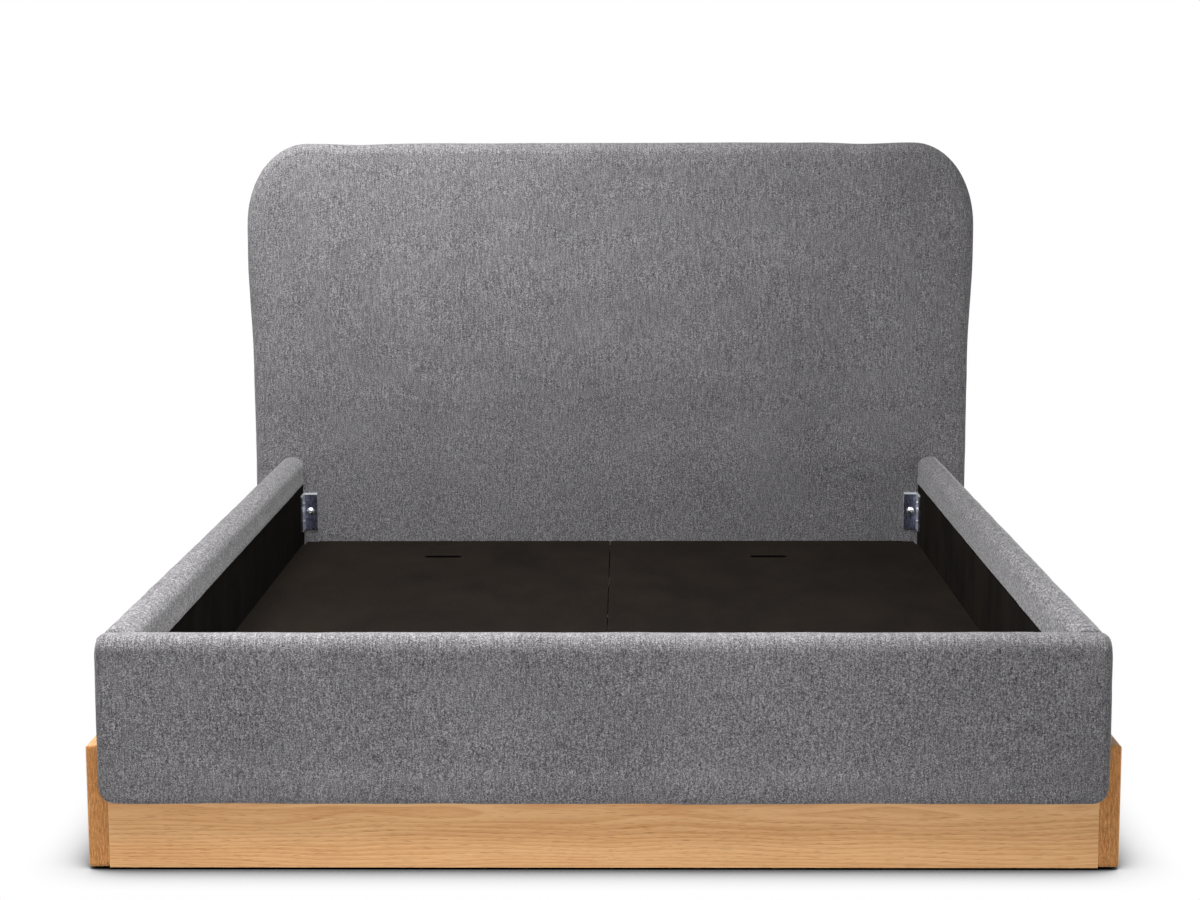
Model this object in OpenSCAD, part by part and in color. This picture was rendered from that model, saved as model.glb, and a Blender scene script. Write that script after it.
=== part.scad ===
// Upholstered platform bed frame on an oak plinth, with a padded headboard
// and two loose deck boards that each lift out by a finger slot.
// X runs across the bed, Y from the foot (-) to the head (+), Z up from the floor.
// The origin is on the floor, under the middle of the whole bed.

/* [Mattress space] */
// Clear width between the padded side rails
inner_w = 1540; // [1400:10:1700]
// Clear length from the foot rail to the headboard
inner_l = 2040; // [1900:10:2150]

/* [Oak plinth] */
// Thickness of the oak boards
oak_t = 35; // [30:1:42]
// Height of the side boards' top edge above the floor
side_board_top_z = 210; // [185:1:225]
// Height of the front and rear boards' top edge above the floor
end_board_top_z = 114; // [108:1:122]
// Rounding of the oak's edges
oak_edge_r = 7; // [1:0.5:10]
// Side of the square blocks in the plinth's corners
corner_block_w = 40; // [30:1:50]
// Height of the glides under the plinth
glide_h = 4; // [3:0.5:6]
// Diameter of the glides under the plinth
glide_d = 18; // [14:1:26]

/* [Padded rails] */
// Height of the padded rails' crest above the floor
rail_top_z = 394; // [384:2:430]
// Thickness of the rails' timber cores
core_t = 38; // [34:1:45]
// Thickness of the foam on the rails' outer faces
foam_t = 13; // [10:1:20]
// Thickness of the upholstery fabric with its backing
skin_t = 2; // [1.75:0.25:3]
// Thickness of the black lining cloth
lining_t = 1.6; // [1:0.1:1.7]
// Rounding of the rails' two long top edges
rail_edge_r = 18; // [14:1:22]
// Rounding of the foot rail's bottom corners, seen from the foot
foot_bottom_r = 30; // [20:1:40]
// Rounding of the foot rail's top corners, seen from the foot
foot_top_r = 18; // [12:1:24]
// Rounding of the foot rail's front corners, seen from above
foot_front_r = 14; // [8:1:15]
// Rounding of the foot rail's low front edge
foot_low_edge_r = 8; // [5:0.5:10]
// How far the fabric comes down inside the rails, from the crest to its hem
hem_drop = 67; // [50:1:78]

/* [Deck] */
// Thickness of the deck boards
board_t = 18; // [15:1:21]
// Gap between the two deck boards
seam_gap = 2; // [1:0.5:6]
// Gap between a deck board and the side rail's lining
board_side_gap = 3; // [2:0.5:6]
// Gap between a deck board and the foot rail or headboard
board_end_gap = 5; // [4:0.5:8]
// Length of a finger slot
slot_l = 90; // [70:1:120]
// Width of a finger slot
slot_w = 28; // [22:1:36]
// Distance from the headboard to the middle of a finger slot
slot_from_head = 222; // [180:1:260]
// How much further out the left board's finger slot sits than the right one's
left_slot_shift = 19; // [0:1:40]

/* [Deck support] */
// Number of cross bearers under the deck boards
bearer_count = 6; // [5:1:8]
// Width of a cross bearer
bearer_w = 45; // [38:1:60]
// Height of a cross bearer
bearer_h = 49; // [44:1:54]
// How far the ledgers reach in under the cross bearers
ledger_reach = 18; // [14:1:30]
// Height of a ledger
ledger_h = 50; // [40:1:54]
// Width of the centre beam
beam_w = 45; // [38:1:70]
// Height of the centre beam
beam_h = 70; // [60:1:78]
// Number of feet under the centre beam
beam_foot_count = 3; // [2:1:5]
// Length of a foot or seat under the centre beam
beam_foot_l = 60; // [40:1:90]

/* [Headboard] */
// How far the headboard reaches out past the rails on each side
headboard_overhang = 65; // [55:1:90]
// Height of the headboard's top above the floor
headboard_top_z = 1172; // [1000:2:1300]
// How far each side swells out below the top corners
side_swell = 9.5; // [0:0.5:14]
// Width of a rounded top corner
top_corner_w = 152; // [110:2:200]
// Height of a rounded top corner
top_corner_h = 200; // [150:2:250]
// Rounding of the headboard's front edge
front_edge_r = 24; // [16:1:26]
// How far the middle of the padded face stands proud
face_crown = 7; // [0:0.5:12]
// Thickness of the foam on the headboard's face
headboard_foam_t = 28; // [26:1:40]
// Thickness of the wadding round the headboard's frame
edge_wadding_t = 8; // [5:1:14]
// Thickness of the face panel behind the foam
face_panel_t = 6; // [4:1:12]
// Thickness of the headboard's timber frame
frame_t = 40; // [34:1:50]
// Width of the headboard's rails and centre posts
headboard_rail_w = 90; // [60:1:100]
// How far the headboard's stiles reach in past the bracket bolts
stile_reach = 44; // [30:1:60]
// Height of the headboard's glides
headboard_glide_h = 6; // [4:0.5:10]
// Diameter of the headboard's glides
headboard_glide_d = 30; // [24:1:40]

/* [Corner brackets] */
// Height of a bracket
bracket_h = 92; // [80:1:104]
// Height of a bracket's lower edge above the deck
bracket_rise = 30; // [24:1:40]
// Thickness of a bracket
bracket_t = 4; // [3:0.5:5]
// Length of the bracket's leg on the headboard or foot rail
bolt_leg_l = 35; // [32:1:44]
// Length of the bracket's leg on the side rail
screw_leg_l = 50; // [40:1:60]
// Distance from the side rail's lining to the bracket's bolt
bolt_offset = 18; // [17:0.5:20]
// Thread diameter of the bolts
bolt_d = 8; // [6:1:10]
// Diameter of the bolts' domed heads
bolt_head_d = 18; // [15:1:20]
// Height of the bolts' heads
bolt_head_h = 5; // [4:0.5:6]
// Diameter of the wood screws
screw_d = 5; // [4:0.5:6]
// Diameter of the wood screws' heads
screw_head_d = 10; // [8:0.5:12]
// Length of the bracket screws' shanks
screw_l = 32; // [25:1:36]

/* [Clearances] */
// Gap between fabric and what it covers, and between soft parts that meet
soft_gap = 0.3; // [0.2:0.05:0.5]
// Gap between the rails' cores and the oak that they drop into
core_gap = 0.5; // [0.3:0.1:1]
// Gap round a shank in its hole
hole_gap = 0.25; // [0.15:0.05:0.5]
// Gap between a deck board and a bracket that it passes when lifted out
lift_gap = 3; // [2:0.5:5]

/* [Hidden] */
$fn = 48;

// Across the bed, from the mattress space outwards
rail_face_x = inner_w / 2;
core_in_x = rail_face_x + skin_t + soft_gap;
core_out_x = core_in_x + core_t;
pad_out_x = core_out_x + foam_t + soft_gap + skin_t;
plinth_in_x = core_out_x + core_gap;
plinth_out_x = plinth_in_x + oak_t;
lining_face_x = core_in_x - lining_t;

// Along the bed, from the foot to the head
foot_rail_t = 2 * (skin_t + soft_gap) + foam_t + core_t;
headboard_t = 2 * (skin_t + soft_gap) + headboard_foam_t + face_panel_t + frame_t;
overall_l = foot_rail_t + inner_l + headboard_t;
foot_y = -overall_l / 2;
plinth_y = foot_y + skin_t + soft_gap + foam_t;
foot_core_in_y = plinth_y + core_t;
foot_lining_y = foot_core_in_y + lining_t;
foot_face_y = foot_y + foot_rail_t;
head_y = foot_face_y + inner_l;
back_y = head_y + headboard_t;
rail_foot_y = foot_face_y + soft_gap;
rail_head_y = head_y - soft_gap;
panel_y = head_y + skin_t + soft_gap + headboard_foam_t;
frame_y = panel_y + face_panel_t;
frame_back_y = frame_y + frame_t;

// Up from the floor
core_bottom_z = end_board_top_z;
core_top_z = rail_top_z - rail_edge_r;
hem_z = rail_top_z - hem_drop;
bearer_top_z = core_bottom_z + bearer_h;
deck_top_z = bearer_top_z + board_t;
beam_bottom_z = core_bottom_z - beam_h;
ledger_bottom_z = core_bottom_z - ledger_h;
oak_joint_edge_r = 1;

// Inside the plinth, between the front and the rear board
plinth_inside_y0 = plinth_y + oak_t;
plinth_inside_y1 = rail_head_y - oak_t;
plinth_inside_l = plinth_inside_y1 - plinth_inside_y0;
ledger_in_x = core_in_x - ledger_reach;

// Headboard outline, and the timber frame inside it
headboard_half = pad_out_x + headboard_overhang;
headboard_bottom_z = headboard_glide_h;
bottom_cut = 12;
least_cut = 1;
cut_rate = 2 - sqrt(2);
top_corner = [top_corner_w, top_corner_h];
corner_z = headboard_top_z - top_corner_h;
swell_start_z = corner_z - 350;
swell_full_z = corner_z - 70;
side_steps = 9;
corner_step_deg = 11.25;
top_steps = 3;
face_mid_z = headboard_top_z / 2;
crown_start_z = rail_top_z + 36;
crown_rise = 300;
face_scales = [0.2, 0.45, 0.7, 0.9];
edge_step_deg = 22.5;
back_edge_r = 3;
back_lip_w = 26;
bottom_wadding_t = 3;
frame_half = headboard_half - skin_t - soft_gap - edge_wadding_t;
frame_top_z = headboard_top_z - skin_t - soft_gap - edge_wadding_t;
frame_bottom_z = headboard_bottom_z + skin_t + soft_gap + bottom_wadding_t;
frame_corner = top_corner - [edge_wadding_t, edge_wadding_t];
stile_top_z = frame_top_z - frame_corner[1];

// Fixings
bracket_z = deck_top_z + bracket_rise;
bolt_z = bracket_z + bracket_h / 2;
bolt_x = lining_face_x - bolt_offset;
stile_in_x = bolt_x - stile_reach;
washer_t = 1.6;
washer_d = bolt_head_d + 2;
socket_af = 5;
socket_depth = 3;
screw_pitch = bracket_h / 2;
screw_from_corner = (screw_leg_l + bracket_t) / 2;
screw_head_h = 3;
nut_barrel_l = 12;
nut_barrel_d = bolt_d + 3;
nut_flange_d = bolt_d + 14;
nut_flange_t = 1.5;
bolt_tip_gap = 3;
bolt_block_margin = 14;
bearer_screw_l = bearer_h + 30;
ledger_screw_bite = 14;
ledger_screws_per_side = 4;
block_screw_l = corner_block_w + 18;

oak = [0.79, 0.60, 0.40];
pine = [0.86, 0.74, 0.55];
plywood = [0.80, 0.68, 0.50];
grey_wool = [0.50, 0.49, 0.50];
foam_cream = [0.90, 0.89, 0.84];
cloth_black = [0.10, 0.09, 0.08];
deck_black = [0.14, 0.12, 0.11];
zinc = [0.70, 0.73, 0.76];
glide_brown = [0.35, 0.25, 0.18];

// ---------- helpers ----------

function smooth(t) = t <= 0 ? 0 : t >= 1 ? 1 : t * t * (3 - 2 * t);
function reversed(list) = [for (k = [len(list) - 1:-1:0]) list[k]];

// A box between two corners
module box(low, high) {
    translate(low) cube(high - low);
}

// Its child and the child's mirror image on the other side of the bed
module both_sides() {
    children();
    mirror([1, 0, 0]) children();
}

// A 2D shape whose x is X and whose y is Z, drawn out along Y
module along_y(y0, y1) {
    translate([0, y1, 0]) rotate([90, 0, 0]) linear_extrude(y1 - y0) children();
}

// A 2D shape whose x is Y and whose y is Z, drawn out along X
module along_x(x0, x1) {
    translate([x0, 0, 0]) rotate([90, 0, 90]) linear_extrude(x1 - x0) children();
}

// What rounding takes off the corner at [x, y], which points to sx and sy
module corner_offcut(x, y, sx, sy, r) {
    over = 1;
    translate([x - sx * r, y - sy * r]) difference() {
        translate([sx > 0 ? 0 : -r - over, sy > 0 ? 0 : -r - over]) square(r + over);
        circle(r);
    }
}

// A rectangle with one radius for its two low corners and one for its two high corners
module rounded_rect(low, high, r_low, r_high) {
    difference() {
        translate(low) square(high - low);
        if (r_low > 0) {
            corner_offcut(low[0], low[1], -1, -1, r_low);
            corner_offcut(high[0], low[1], 1, -1, r_low);
        }
        if (r_high > 0) {
            corner_offcut(low[0], high[1], -1, 1, r_high);
            corner_offcut(high[0], high[1], 1, 1, r_high);
        }
    }
}

// A closed surface through rings with the same number of points, closed at each end
// by a fan to a tip; its last rings, other of them, are split along their other diagonal
module ring_solid(tip_a, rings, tip_b, other = 0) {
    n = len(rings[0]);
    m = len(rings);
    turn = m - other;
    function at(j, k) = 1 + j * n + k % n;
    points = concat([tip_a], [for (ring = rings) each ring], [tip_b]);
    faces = concat(
        [for (k = [0:n - 1]) [0, at(0, k + 1), at(0, k)]],
        [for (j = [0:m - 2], k = [0:n - 1])
            [at(j, k), at(j, k + 1), at(j + 1, j < turn ? k + 1 : k)]],
        [for (j = [0:m - 2], k = [0:n - 1])
            [at(j, j < turn ? k : k + 1), at(j + 1, k + 1), at(j + 1, k)]],
        [for (k = [0:n - 1]) [m * n + 1, at(m - 1, k), at(m - 1, k + 1)]]
    );
    polyhedron(points, faces, convexity = 6);
}

// A countersunk screw that points down from the flat top of its head at z = 0
module sunk_screw(length, grow = 0) {
    head_h = (screw_head_d - screw_d) / 2;
    translate([0, 0, -length]) cylinder(d = screw_d + grow, h = length, $fn = 16);
    translate([0, 0, -head_h])
        cylinder(d1 = screw_d + grow, d2 = screw_head_d + grow, h = head_h, $fn = 24);
}

// ---------- oak plinth ----------

block_in_x = plinth_in_x - corner_block_w;

// Corner block screws, which point outwards into the side boards
module block_screws_both(grow = 0) {
    block_mid_z = (glide_h + ledger_bottom_z) / 2;
    for (y = [plinth_inside_y0 + corner_block_w / 2, plinth_inside_y1 - corner_block_w / 2])
        both_sides() translate([block_in_x, y, block_mid_z]) rotate([0, -90, 0])
            sunk_screw(block_screw_l, grow);
}

// Ledger screws, which point outwards through the ledger into the side boards
module ledger_screws_both(grow = 0) {
    step = plinth_inside_l / ledger_screws_per_side;
    ledger_mid_z = (ledger_bottom_z + core_bottom_z) / 2;
    for (k = [0:ledger_screws_per_side - 1])
        both_sides() translate([ledger_in_x, plinth_inside_y0 + (k + 0.5) * step, ledger_mid_z])
            rotate([0, -90, 0]) sunk_screw(plinth_in_x - ledger_in_x + ledger_screw_bite, grow);
}

// A side board, rounded all round its front end; the edge at the front board's joint stays sharper
module plinth_side_shape() {
    difference() {
        intersection() {
            along_y(plinth_y, rail_head_y)
                rounded_rect([plinth_in_x, glide_h], [plinth_out_x, side_board_top_z],
                             oak_edge_r, oak_edge_r);
            linear_extrude(side_board_top_z) difference() {
                translate([plinth_in_x, plinth_y]) square([oak_t, rail_head_y - plinth_y]);
                corner_offcut(plinth_out_x, plinth_y, 1, -1, oak_edge_r);
                corner_offcut(plinth_in_x, plinth_y, -1, -1, oak_joint_edge_r);
            }
            along_x(plinth_in_x, plinth_out_x) difference() {
                translate([plinth_y, glide_h])
                    square([rail_head_y - plinth_y, side_board_top_z - glide_h]);
                corner_offcut(plinth_y, side_board_top_z, -1, 1, oak_edge_r);
                corner_offcut(plinth_y, glide_h, -1, -1, oak_edge_r);
            }
        }
        block_screws_both(2 * hole_gap);
        ledger_screws_both(2 * hole_gap);
    }
}

module plinth_side_left() {
    color(oak) mirror([1, 0, 0]) plinth_side_shape();
}

module plinth_side_right() {
    color(oak) plinth_side_shape();
}

// A board between the side boards that starts at y0
module plinth_end_board(y0) {
    box([-plinth_in_x, y0, glide_h], [plinth_in_x, y0 + oak_t, end_board_top_z]);
}

module plinth_front() {
    color(oak) plinth_end_board(plinth_y);
}

module plinth_rear() {
    color(oak) difference() {
        plinth_end_board(plinth_inside_y1);
        bearer_screws_both(2 * hole_gap);
    }
}

module plinth_corner_blocks() {
    color(pine) difference() {
        for (y = [plinth_inside_y0, plinth_inside_y1 - corner_block_w])
            both_sides() box([block_in_x, y, glide_h],
                             [plinth_in_x, y + corner_block_w, ledger_bottom_z]);
        block_screws_both(2 * hole_gap);
    }
}

module corner_block_screws() {
    color(zinc) block_screws_both();
}

module plinth_glides() {
    end_inset = 60;
    side_y = [plinth_y + end_inset, (plinth_y + rail_head_y) / 2, rail_head_y - end_inset];
    end_y = [plinth_y + oak_t / 2, rail_head_y - oak_t / 2];
    color(glide_brown) both_sides() {
        for (y = side_y)
            translate([plinth_out_x - oak_t / 2, y, 0]) cylinder(d = glide_d, h = glide_h, $fn = 24);
        for (y = end_y)
            translate([plinth_in_x - corner_block_w, y, 0]) cylinder(d = glide_d, h = glide_h, $fn = 24);
    }
}

// ---------- deck support ----------

module ledger_shape() {
    difference() {
        box([ledger_in_x, plinth_inside_y0, ledger_bottom_z],
            [plinth_in_x, plinth_inside_y1, core_bottom_z]);
        ledger_screws_both(2 * hole_gap);
        bearer_screws_both(2 * hole_gap);
    }
}

module ledger_left() {
    color(pine) mirror([1, 0, 0]) ledger_shape();
}

module ledger_right() {
    color(pine) ledger_shape();
}

module ledger_screws() {
    color(zinc) ledger_screws_both();
}

module centre_beam() {
    color(pine) box([-beam_w / 2, plinth_inside_y0, beam_bottom_z],
                    [beam_w / 2, plinth_inside_y1, core_bottom_z]);
}

module beam_seats() {
    color(pine) for (y = [plinth_inside_y0, plinth_inside_y1 - beam_foot_l])
        box([-beam_w / 2, y, glide_h], [beam_w / 2, y + beam_foot_l, beam_bottom_z]);
}

function beam_foot_y(k) = plinth_inside_y0 + (k + 1) * plinth_inside_l / (beam_foot_count + 1);

module beam_feet() {
    color(pine) for (k = [0:beam_foot_count - 1])
        box([-beam_w / 2, beam_foot_y(k) - beam_foot_l / 2, glide_h],
            [beam_w / 2, beam_foot_y(k) + beam_foot_l / 2, beam_bottom_z]);
}

module beam_glides() {
    color(glide_brown) for (k = [0:beam_foot_count - 1])
        translate([0, beam_foot_y(k), 0]) cylinder(d = glide_d, h = glide_h, $fn = 24);
}

bearer_y0 = foot_face_y + board_end_gap;
bearer_span = inner_l - 2 * board_end_gap - bearer_w;
function bearer_y(k) = bearer_y0 + k * bearer_span / (bearer_count - 1);

// Screws that hold the cross bearers down on the ledgers
module bearer_screws_both(grow = 0) {
    for (k = [0:bearer_count - 1])
        both_sides() translate([core_in_x - ledger_reach / 2, bearer_y(k) + bearer_w / 2, bearer_top_z])
            sunk_screw(bearer_screw_l, grow);
}

module deck_bearers() {
    bearer_half = lining_face_x - core_gap;
    color(pine) difference() {
        for (k = [0:bearer_count - 1])
            box([-bearer_half, bearer_y(k), core_bottom_z],
                [bearer_half, bearer_y(k) + bearer_w, bearer_top_z]);
        bearer_screws_both(2 * hole_gap);
    }
}

module bearer_screws() {
    color(zinc) bearer_screws_both();
}

// ---------- deck boards ----------

board_out_x = lining_face_x - board_side_gap;
board_foot_y = foot_face_y + board_end_gap;
board_head_y = head_y - board_end_gap;
slot_x = (seam_gap / 2 + board_out_x) / 2;
slot_y = head_y - slot_from_head;

// Where a board clears both legs of a bracket, as [how far in from the lining, how far along Y]
screw_leg_notch = [bracket_t + screw_head_h + lift_gap, screw_leg_l + lift_gap];
bolt_leg_notch = [bolt_leg_l + lift_gap, bracket_t + washer_t + bolt_head_h + lift_gap];

// The notches at one end of the board: toward is -1 from the headboard, 1 from the foot rail
module bracket_notches(end_y, toward) {
    for (notch = [screw_leg_notch, bolt_leg_notch]) {
        y0 = min(end_y - toward, end_y + toward * notch[1]);
        y1 = max(end_y - toward, end_y + toward * notch[1]);
        translate([lining_face_x - notch[0], y0]) square([notch[0] + 1, y1 - y0]);
    }
}

module finger_slot(shift) {
    half_run = (slot_l - slot_w) / 2;
    translate([slot_x + shift, slot_y]) {
        for (side = [-1, 1]) translate([side * half_run, 0]) circle(d = slot_w);
        square([2 * half_run, slot_w], center = true);
    }
}

module deck_board_shape(slot_shift = 0) {
    translate([0, 0, bearer_top_z]) linear_extrude(board_t) difference() {
        translate([seam_gap / 2, board_foot_y])
            square([board_out_x - seam_gap / 2, board_head_y - board_foot_y]);
        bracket_notches(head_y, -1);
        bracket_notches(foot_lining_y, 1);
        finger_slot(slot_shift);
    }
}

module deck_board_left() {
    color(deck_black) mirror([1, 0, 0]) deck_board_shape(left_slot_shift);
}

module deck_board_right() {
    color(deck_black) deck_board_shape();
}

// ---------- padded rails ----------

// The side rail's padded outline, i inside its outer face
module side_pad_2d(i) {
    rounded_rect([rail_face_x + i, side_board_top_z + i], [pad_out_x - i, rail_top_z - i],
                 0, rail_edge_r - i);
}

module side_rail_core_shape() {
    difference() {
        box([core_in_x, rail_foot_y, core_bottom_z], [core_out_x, rail_head_y, core_top_z]);
        bracket_screws_all(2 * hole_gap);
    }
}

module side_rail_foam_shape() {
    along_y(rail_foot_y, rail_head_y) difference() {
        side_pad_2d(skin_t + soft_gap);
        translate([rail_face_x, core_bottom_z])
            square([core_out_x - rail_face_x, core_top_z - core_bottom_z]);
    }
}

module side_rail_cover_shape() {
    along_y(rail_foot_y, rail_head_y) difference() {
        side_pad_2d(0);
        side_pad_2d(skin_t);
        translate([rail_face_x - 1, core_bottom_z])
            square([core_out_x + 1 - rail_face_x, hem_z - core_bottom_z]);
    }
}

module side_rail_lining_shape() {
    difference() {
        box([lining_face_x, rail_foot_y, core_bottom_z], [core_in_x, rail_head_y, hem_z - soft_gap]);
        bracket_screws_all(2 * hole_gap);
    }
}

module side_rail_core_left() {
    color(pine) mirror([1, 0, 0]) side_rail_core_shape();
}

module side_rail_core_right() {
    color(pine) side_rail_core_shape();
}

module side_rail_foam_left() {
    color(foam_cream) mirror([1, 0, 0]) side_rail_foam_shape();
}

module side_rail_foam_right() {
    color(foam_cream) side_rail_foam_shape();
}

module side_rail_cover_left() {
    color(grey_wool) mirror([1, 0, 0]) side_rail_cover_shape();
}

module side_rail_cover_right() {
    color(grey_wool) side_rail_cover_shape();
}

module side_rail_lining_left() {
    color(cloth_black) mirror([1, 0, 0]) side_rail_lining_shape();
}

module side_rail_lining_right() {
    color(cloth_black) side_rail_lining_shape();
}

foot_core_half = plinth_in_x - core_gap;

// The foot rail's padded form, i inside its outer faces, without the room of the oak side boards
module foot_form(i) {
    over = 1;
    difference() {
        intersection() {
            along_x(-pad_out_x, pad_out_x)
                rounded_rect([foot_y + i, core_bottom_z + i], [foot_face_y - i, rail_top_z - i],
                             foot_low_edge_r - i, rail_edge_r - i);
            along_y(foot_y, foot_face_y)
                rounded_rect([i - pad_out_x, core_bottom_z + i], [pad_out_x - i, rail_top_z - i],
                             foot_bottom_r - i, foot_top_r - i);
            linear_extrude(rail_top_z)
                rounded_rect([i - pad_out_x, foot_y + i], [pad_out_x - i, foot_face_y - i],
                             foot_front_r - i, 0);
        }
        both_sides() box([foot_core_half - i, plinth_y - i, 0],
                         [pad_out_x + over, foot_face_y + over, side_board_top_z + i]);
    }
}

// The room behind the foot pad's face, up to the height z
module foot_core_room(z) {
    over = 1;
    box([-foot_core_half, plinth_y, 0], [foot_core_half, foot_face_y + over, z]);
}

module foot_rail_core() {
    color(pine) difference() {
        box([-foot_core_half, plinth_y, core_bottom_z], [foot_core_half, foot_core_in_y, core_top_z]);
        foot_bolt_holes();
    }
}

module foot_rail_foam() {
    color(foam_cream) difference() {
        foot_form(skin_t + soft_gap);
        foot_core_room(core_top_z);
    }
}

module foot_rail_cover() {
    color(grey_wool) difference() {
        foot_form(0);
        foot_form(skin_t);
        foot_core_room(hem_z);
    }
}

module foot_rail_lining() {
    lining_half = lining_face_x - soft_gap;
    color(cloth_black) difference() {
        box([-lining_half, foot_core_in_y, core_bottom_z], [lining_half, foot_lining_y, hem_z - soft_gap]);
        foot_bolt_holes();
    }
}

// ---------- headboard ----------

// The right half of an outline, from the floor up to the middle of the top, as [x, z];
// cut is how much is cut off its bottom corner, corner the top corner's width and height
function half_outline(half, swell, bottom, cut, corner, top) =
    let (cx = half + swell - corner[0], cz = top - corner[1],
         low = bottom + cut, step = (cz - low) / side_steps)
    concat(
        [[half - cut, bottom]],
        [for (k = [0:side_steps - 1]) let (z = low + k * step)
            [half + swell * smooth((z - swell_start_z) / (swell_full_z - swell_start_z)), z]],
        [for (a = [0:corner_step_deg:90]) [cx + corner[0] * cos(a), cz + corner[1] * sin(a)]],
        [for (k = [1:top_steps]) [cx * (1 - k / top_steps), top]]
    );

// The whole outline, once round
function outline(half, swell, bottom, cut, corner, top) =
    let (right = half_outline(half, swell, bottom, cut, corner, top))
    concat(
        right,
        [for (k = [len(right) - 2:-1:0]) [-right[k][0], right[k][1]]],
        [for (x = [-half / 2, 0, half / 2]) [x, bottom]]
    );

// The headboard's outline, i inside its outer edge; the cut corner's own edge moves in by i too
function headboard_outline(i) =
    outline(headboard_half - i, side_swell, headboard_bottom_z + i,
            max(least_cut, bottom_cut - i * cut_rate), top_corner - [i, i], headboard_top_z - i);

// The timber frame's outline, i outside its edge
function frame_outline(i) =
    outline(frame_half + i, 0, frame_bottom_z - i, bottom_cut + i * cut_rate,
            frame_corner + [i, i], frame_top_z + i);

function ring_at(flat_points, y) = [for (p = flat_points) [p[0], y, p[1]]];

// The padded face's Y at height z, i behind its outer skin; s is 0 in the middle and 1 at the edge
function face_y(i, s, z) =
    head_y + i - face_crown * (1 - s * s) * smooth((z - crown_start_z) / crown_rise);

// Rings over the padded face and round its front edge, from the middle outwards
function face_rings(i) = concat(
    [for (s = face_scales)
        [for (p = headboard_outline(front_edge_r))
            let (z = face_mid_z + s * (p[1] - face_mid_z)) [s * p[0], face_y(i, s, z), z]]],
    [for (a = [90:-edge_step_deg:0])
        ring_at(headboard_outline(i + (front_edge_r - i) * (1 - cos(a))),
                head_y + i + (front_edge_r - i) * (1 - sin(a)))]
);
function face_tip(i) = [0, face_y(i, 0, face_mid_z), face_mid_z];

// Solid blocks in the foam behind the brackets, grown by grow to cut their room
module bolt_block_shape(grow = 0) {
    margin = bolt_block_margin + grow;
    both_sides()
        box([lining_face_x - bolt_leg_l - margin, head_y + skin_t + soft_gap - grow, bracket_z - margin],
            [lining_face_x + margin, panel_y, bracket_z + bracket_h + margin]);
}

module headboard_cover() {
    inside = reversed(face_rings(skin_t));
    rings = concat(
        face_rings(0),
        [ring_at(headboard_outline(0), back_y - back_edge_r)],
        [ring_at(headboard_outline(back_edge_r), back_y)],
        [ring_at(headboard_outline(back_lip_w), back_y)],
        [ring_at(headboard_outline(back_lip_w), back_y - skin_t)],
        [ring_at(headboard_outline(skin_t), back_y - skin_t)],
        inside
    );
    color(grey_wool) difference() {
        ring_solid(face_tip(0), rings, face_tip(skin_t), other = len(inside));
        head_bolt_holes();
    }
}

module headboard_foam() {
    i = skin_t + soft_gap;
    rings = concat(
        face_rings(i),
        [ring_at(headboard_outline(i), frame_back_y)],
        [ring_at(frame_outline(soft_gap), frame_back_y)],
        [ring_at(frame_outline(soft_gap), panel_y)]
    );
    color(foam_cream) difference() {
        ring_solid(face_tip(i), rings, [0, panel_y, face_mid_z]);
        bolt_block_shape(soft_gap);
    }
}

module headboard_bolt_blocks() {
    color(pine) difference() {
        bolt_block_shape();
        head_bolt_holes();
    }
}

module headboard_face_panel() {
    color(plywood) difference() {
        along_y(panel_y, frame_y) polygon(frame_outline(0));
        head_bolt_holes();
    }
}

// A stile, with its bottom corner cut as the face panel's
module stile_shape() {
    difference() {
        along_y(frame_y, frame_back_y) polygon([
            [stile_in_x, frame_bottom_z], [frame_half - bottom_cut, frame_bottom_z],
            [frame_half, frame_bottom_z + bottom_cut], [frame_half, stile_top_z],
            [stile_in_x, stile_top_z]
        ]);
        head_bolt_holes();
    }
}

module headboard_stile_left() {
    color(pine) mirror([1, 0, 0]) stile_shape();
}

module headboard_stile_right() {
    color(pine) stile_shape();
}

middle_rail_z = (frame_bottom_z + frame_top_z - headboard_rail_w) / 2;

module headboard_rails() {
    corner_in_x = frame_half - frame_corner[0];
    color(pine) {
        box([-stile_in_x, frame_y, frame_bottom_z],
            [stile_in_x, frame_back_y, frame_bottom_z + headboard_rail_w]);
        box([-stile_in_x, frame_y, middle_rail_z],
            [stile_in_x, frame_back_y, middle_rail_z + headboard_rail_w]);
        box([-corner_in_x, frame_y, frame_top_z - headboard_rail_w],
            [corner_in_x, frame_back_y, frame_top_z]);
    }
}

module headboard_centre_posts() {
    half_w = headboard_rail_w / 2;
    color(pine) {
        box([-half_w, frame_y, frame_bottom_z + headboard_rail_w], [half_w, frame_back_y, middle_rail_z]);
        box([-half_w, frame_y, middle_rail_z + headboard_rail_w],
            [half_w, frame_back_y, frame_top_z - headboard_rail_w]);
    }
}

// Blocks above the stiles that carry the fabric round the top corners
module headboard_corner_blocks() {
    cx = frame_half - frame_corner[0];
    arc = [for (a = [0:corner_step_deg:90])
        [cx + frame_corner[0] * cos(a), stile_top_z + frame_corner[1] * sin(a)]];
    color(pine) both_sides() along_y(frame_y, frame_back_y) polygon(concat([[cx, stile_top_z]], arc));
}

module headboard_back_cloth() {
    color(cloth_black) along_y(frame_back_y, frame_back_y + lining_t)
        polygon(headboard_outline(back_lip_w + soft_gap));
}

module headboard_glides() {
    glide_x = (stile_in_x + frame_half) / 2;
    color(glide_brown) for (x = [-glide_x, 0, glide_x])
        translate([x, frame_y + frame_t / 2, 0])
            cylinder(d = headboard_glide_d, h = headboard_glide_h, $fn = 32);
}

// ---------- corner brackets and their fixings ----------

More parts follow.
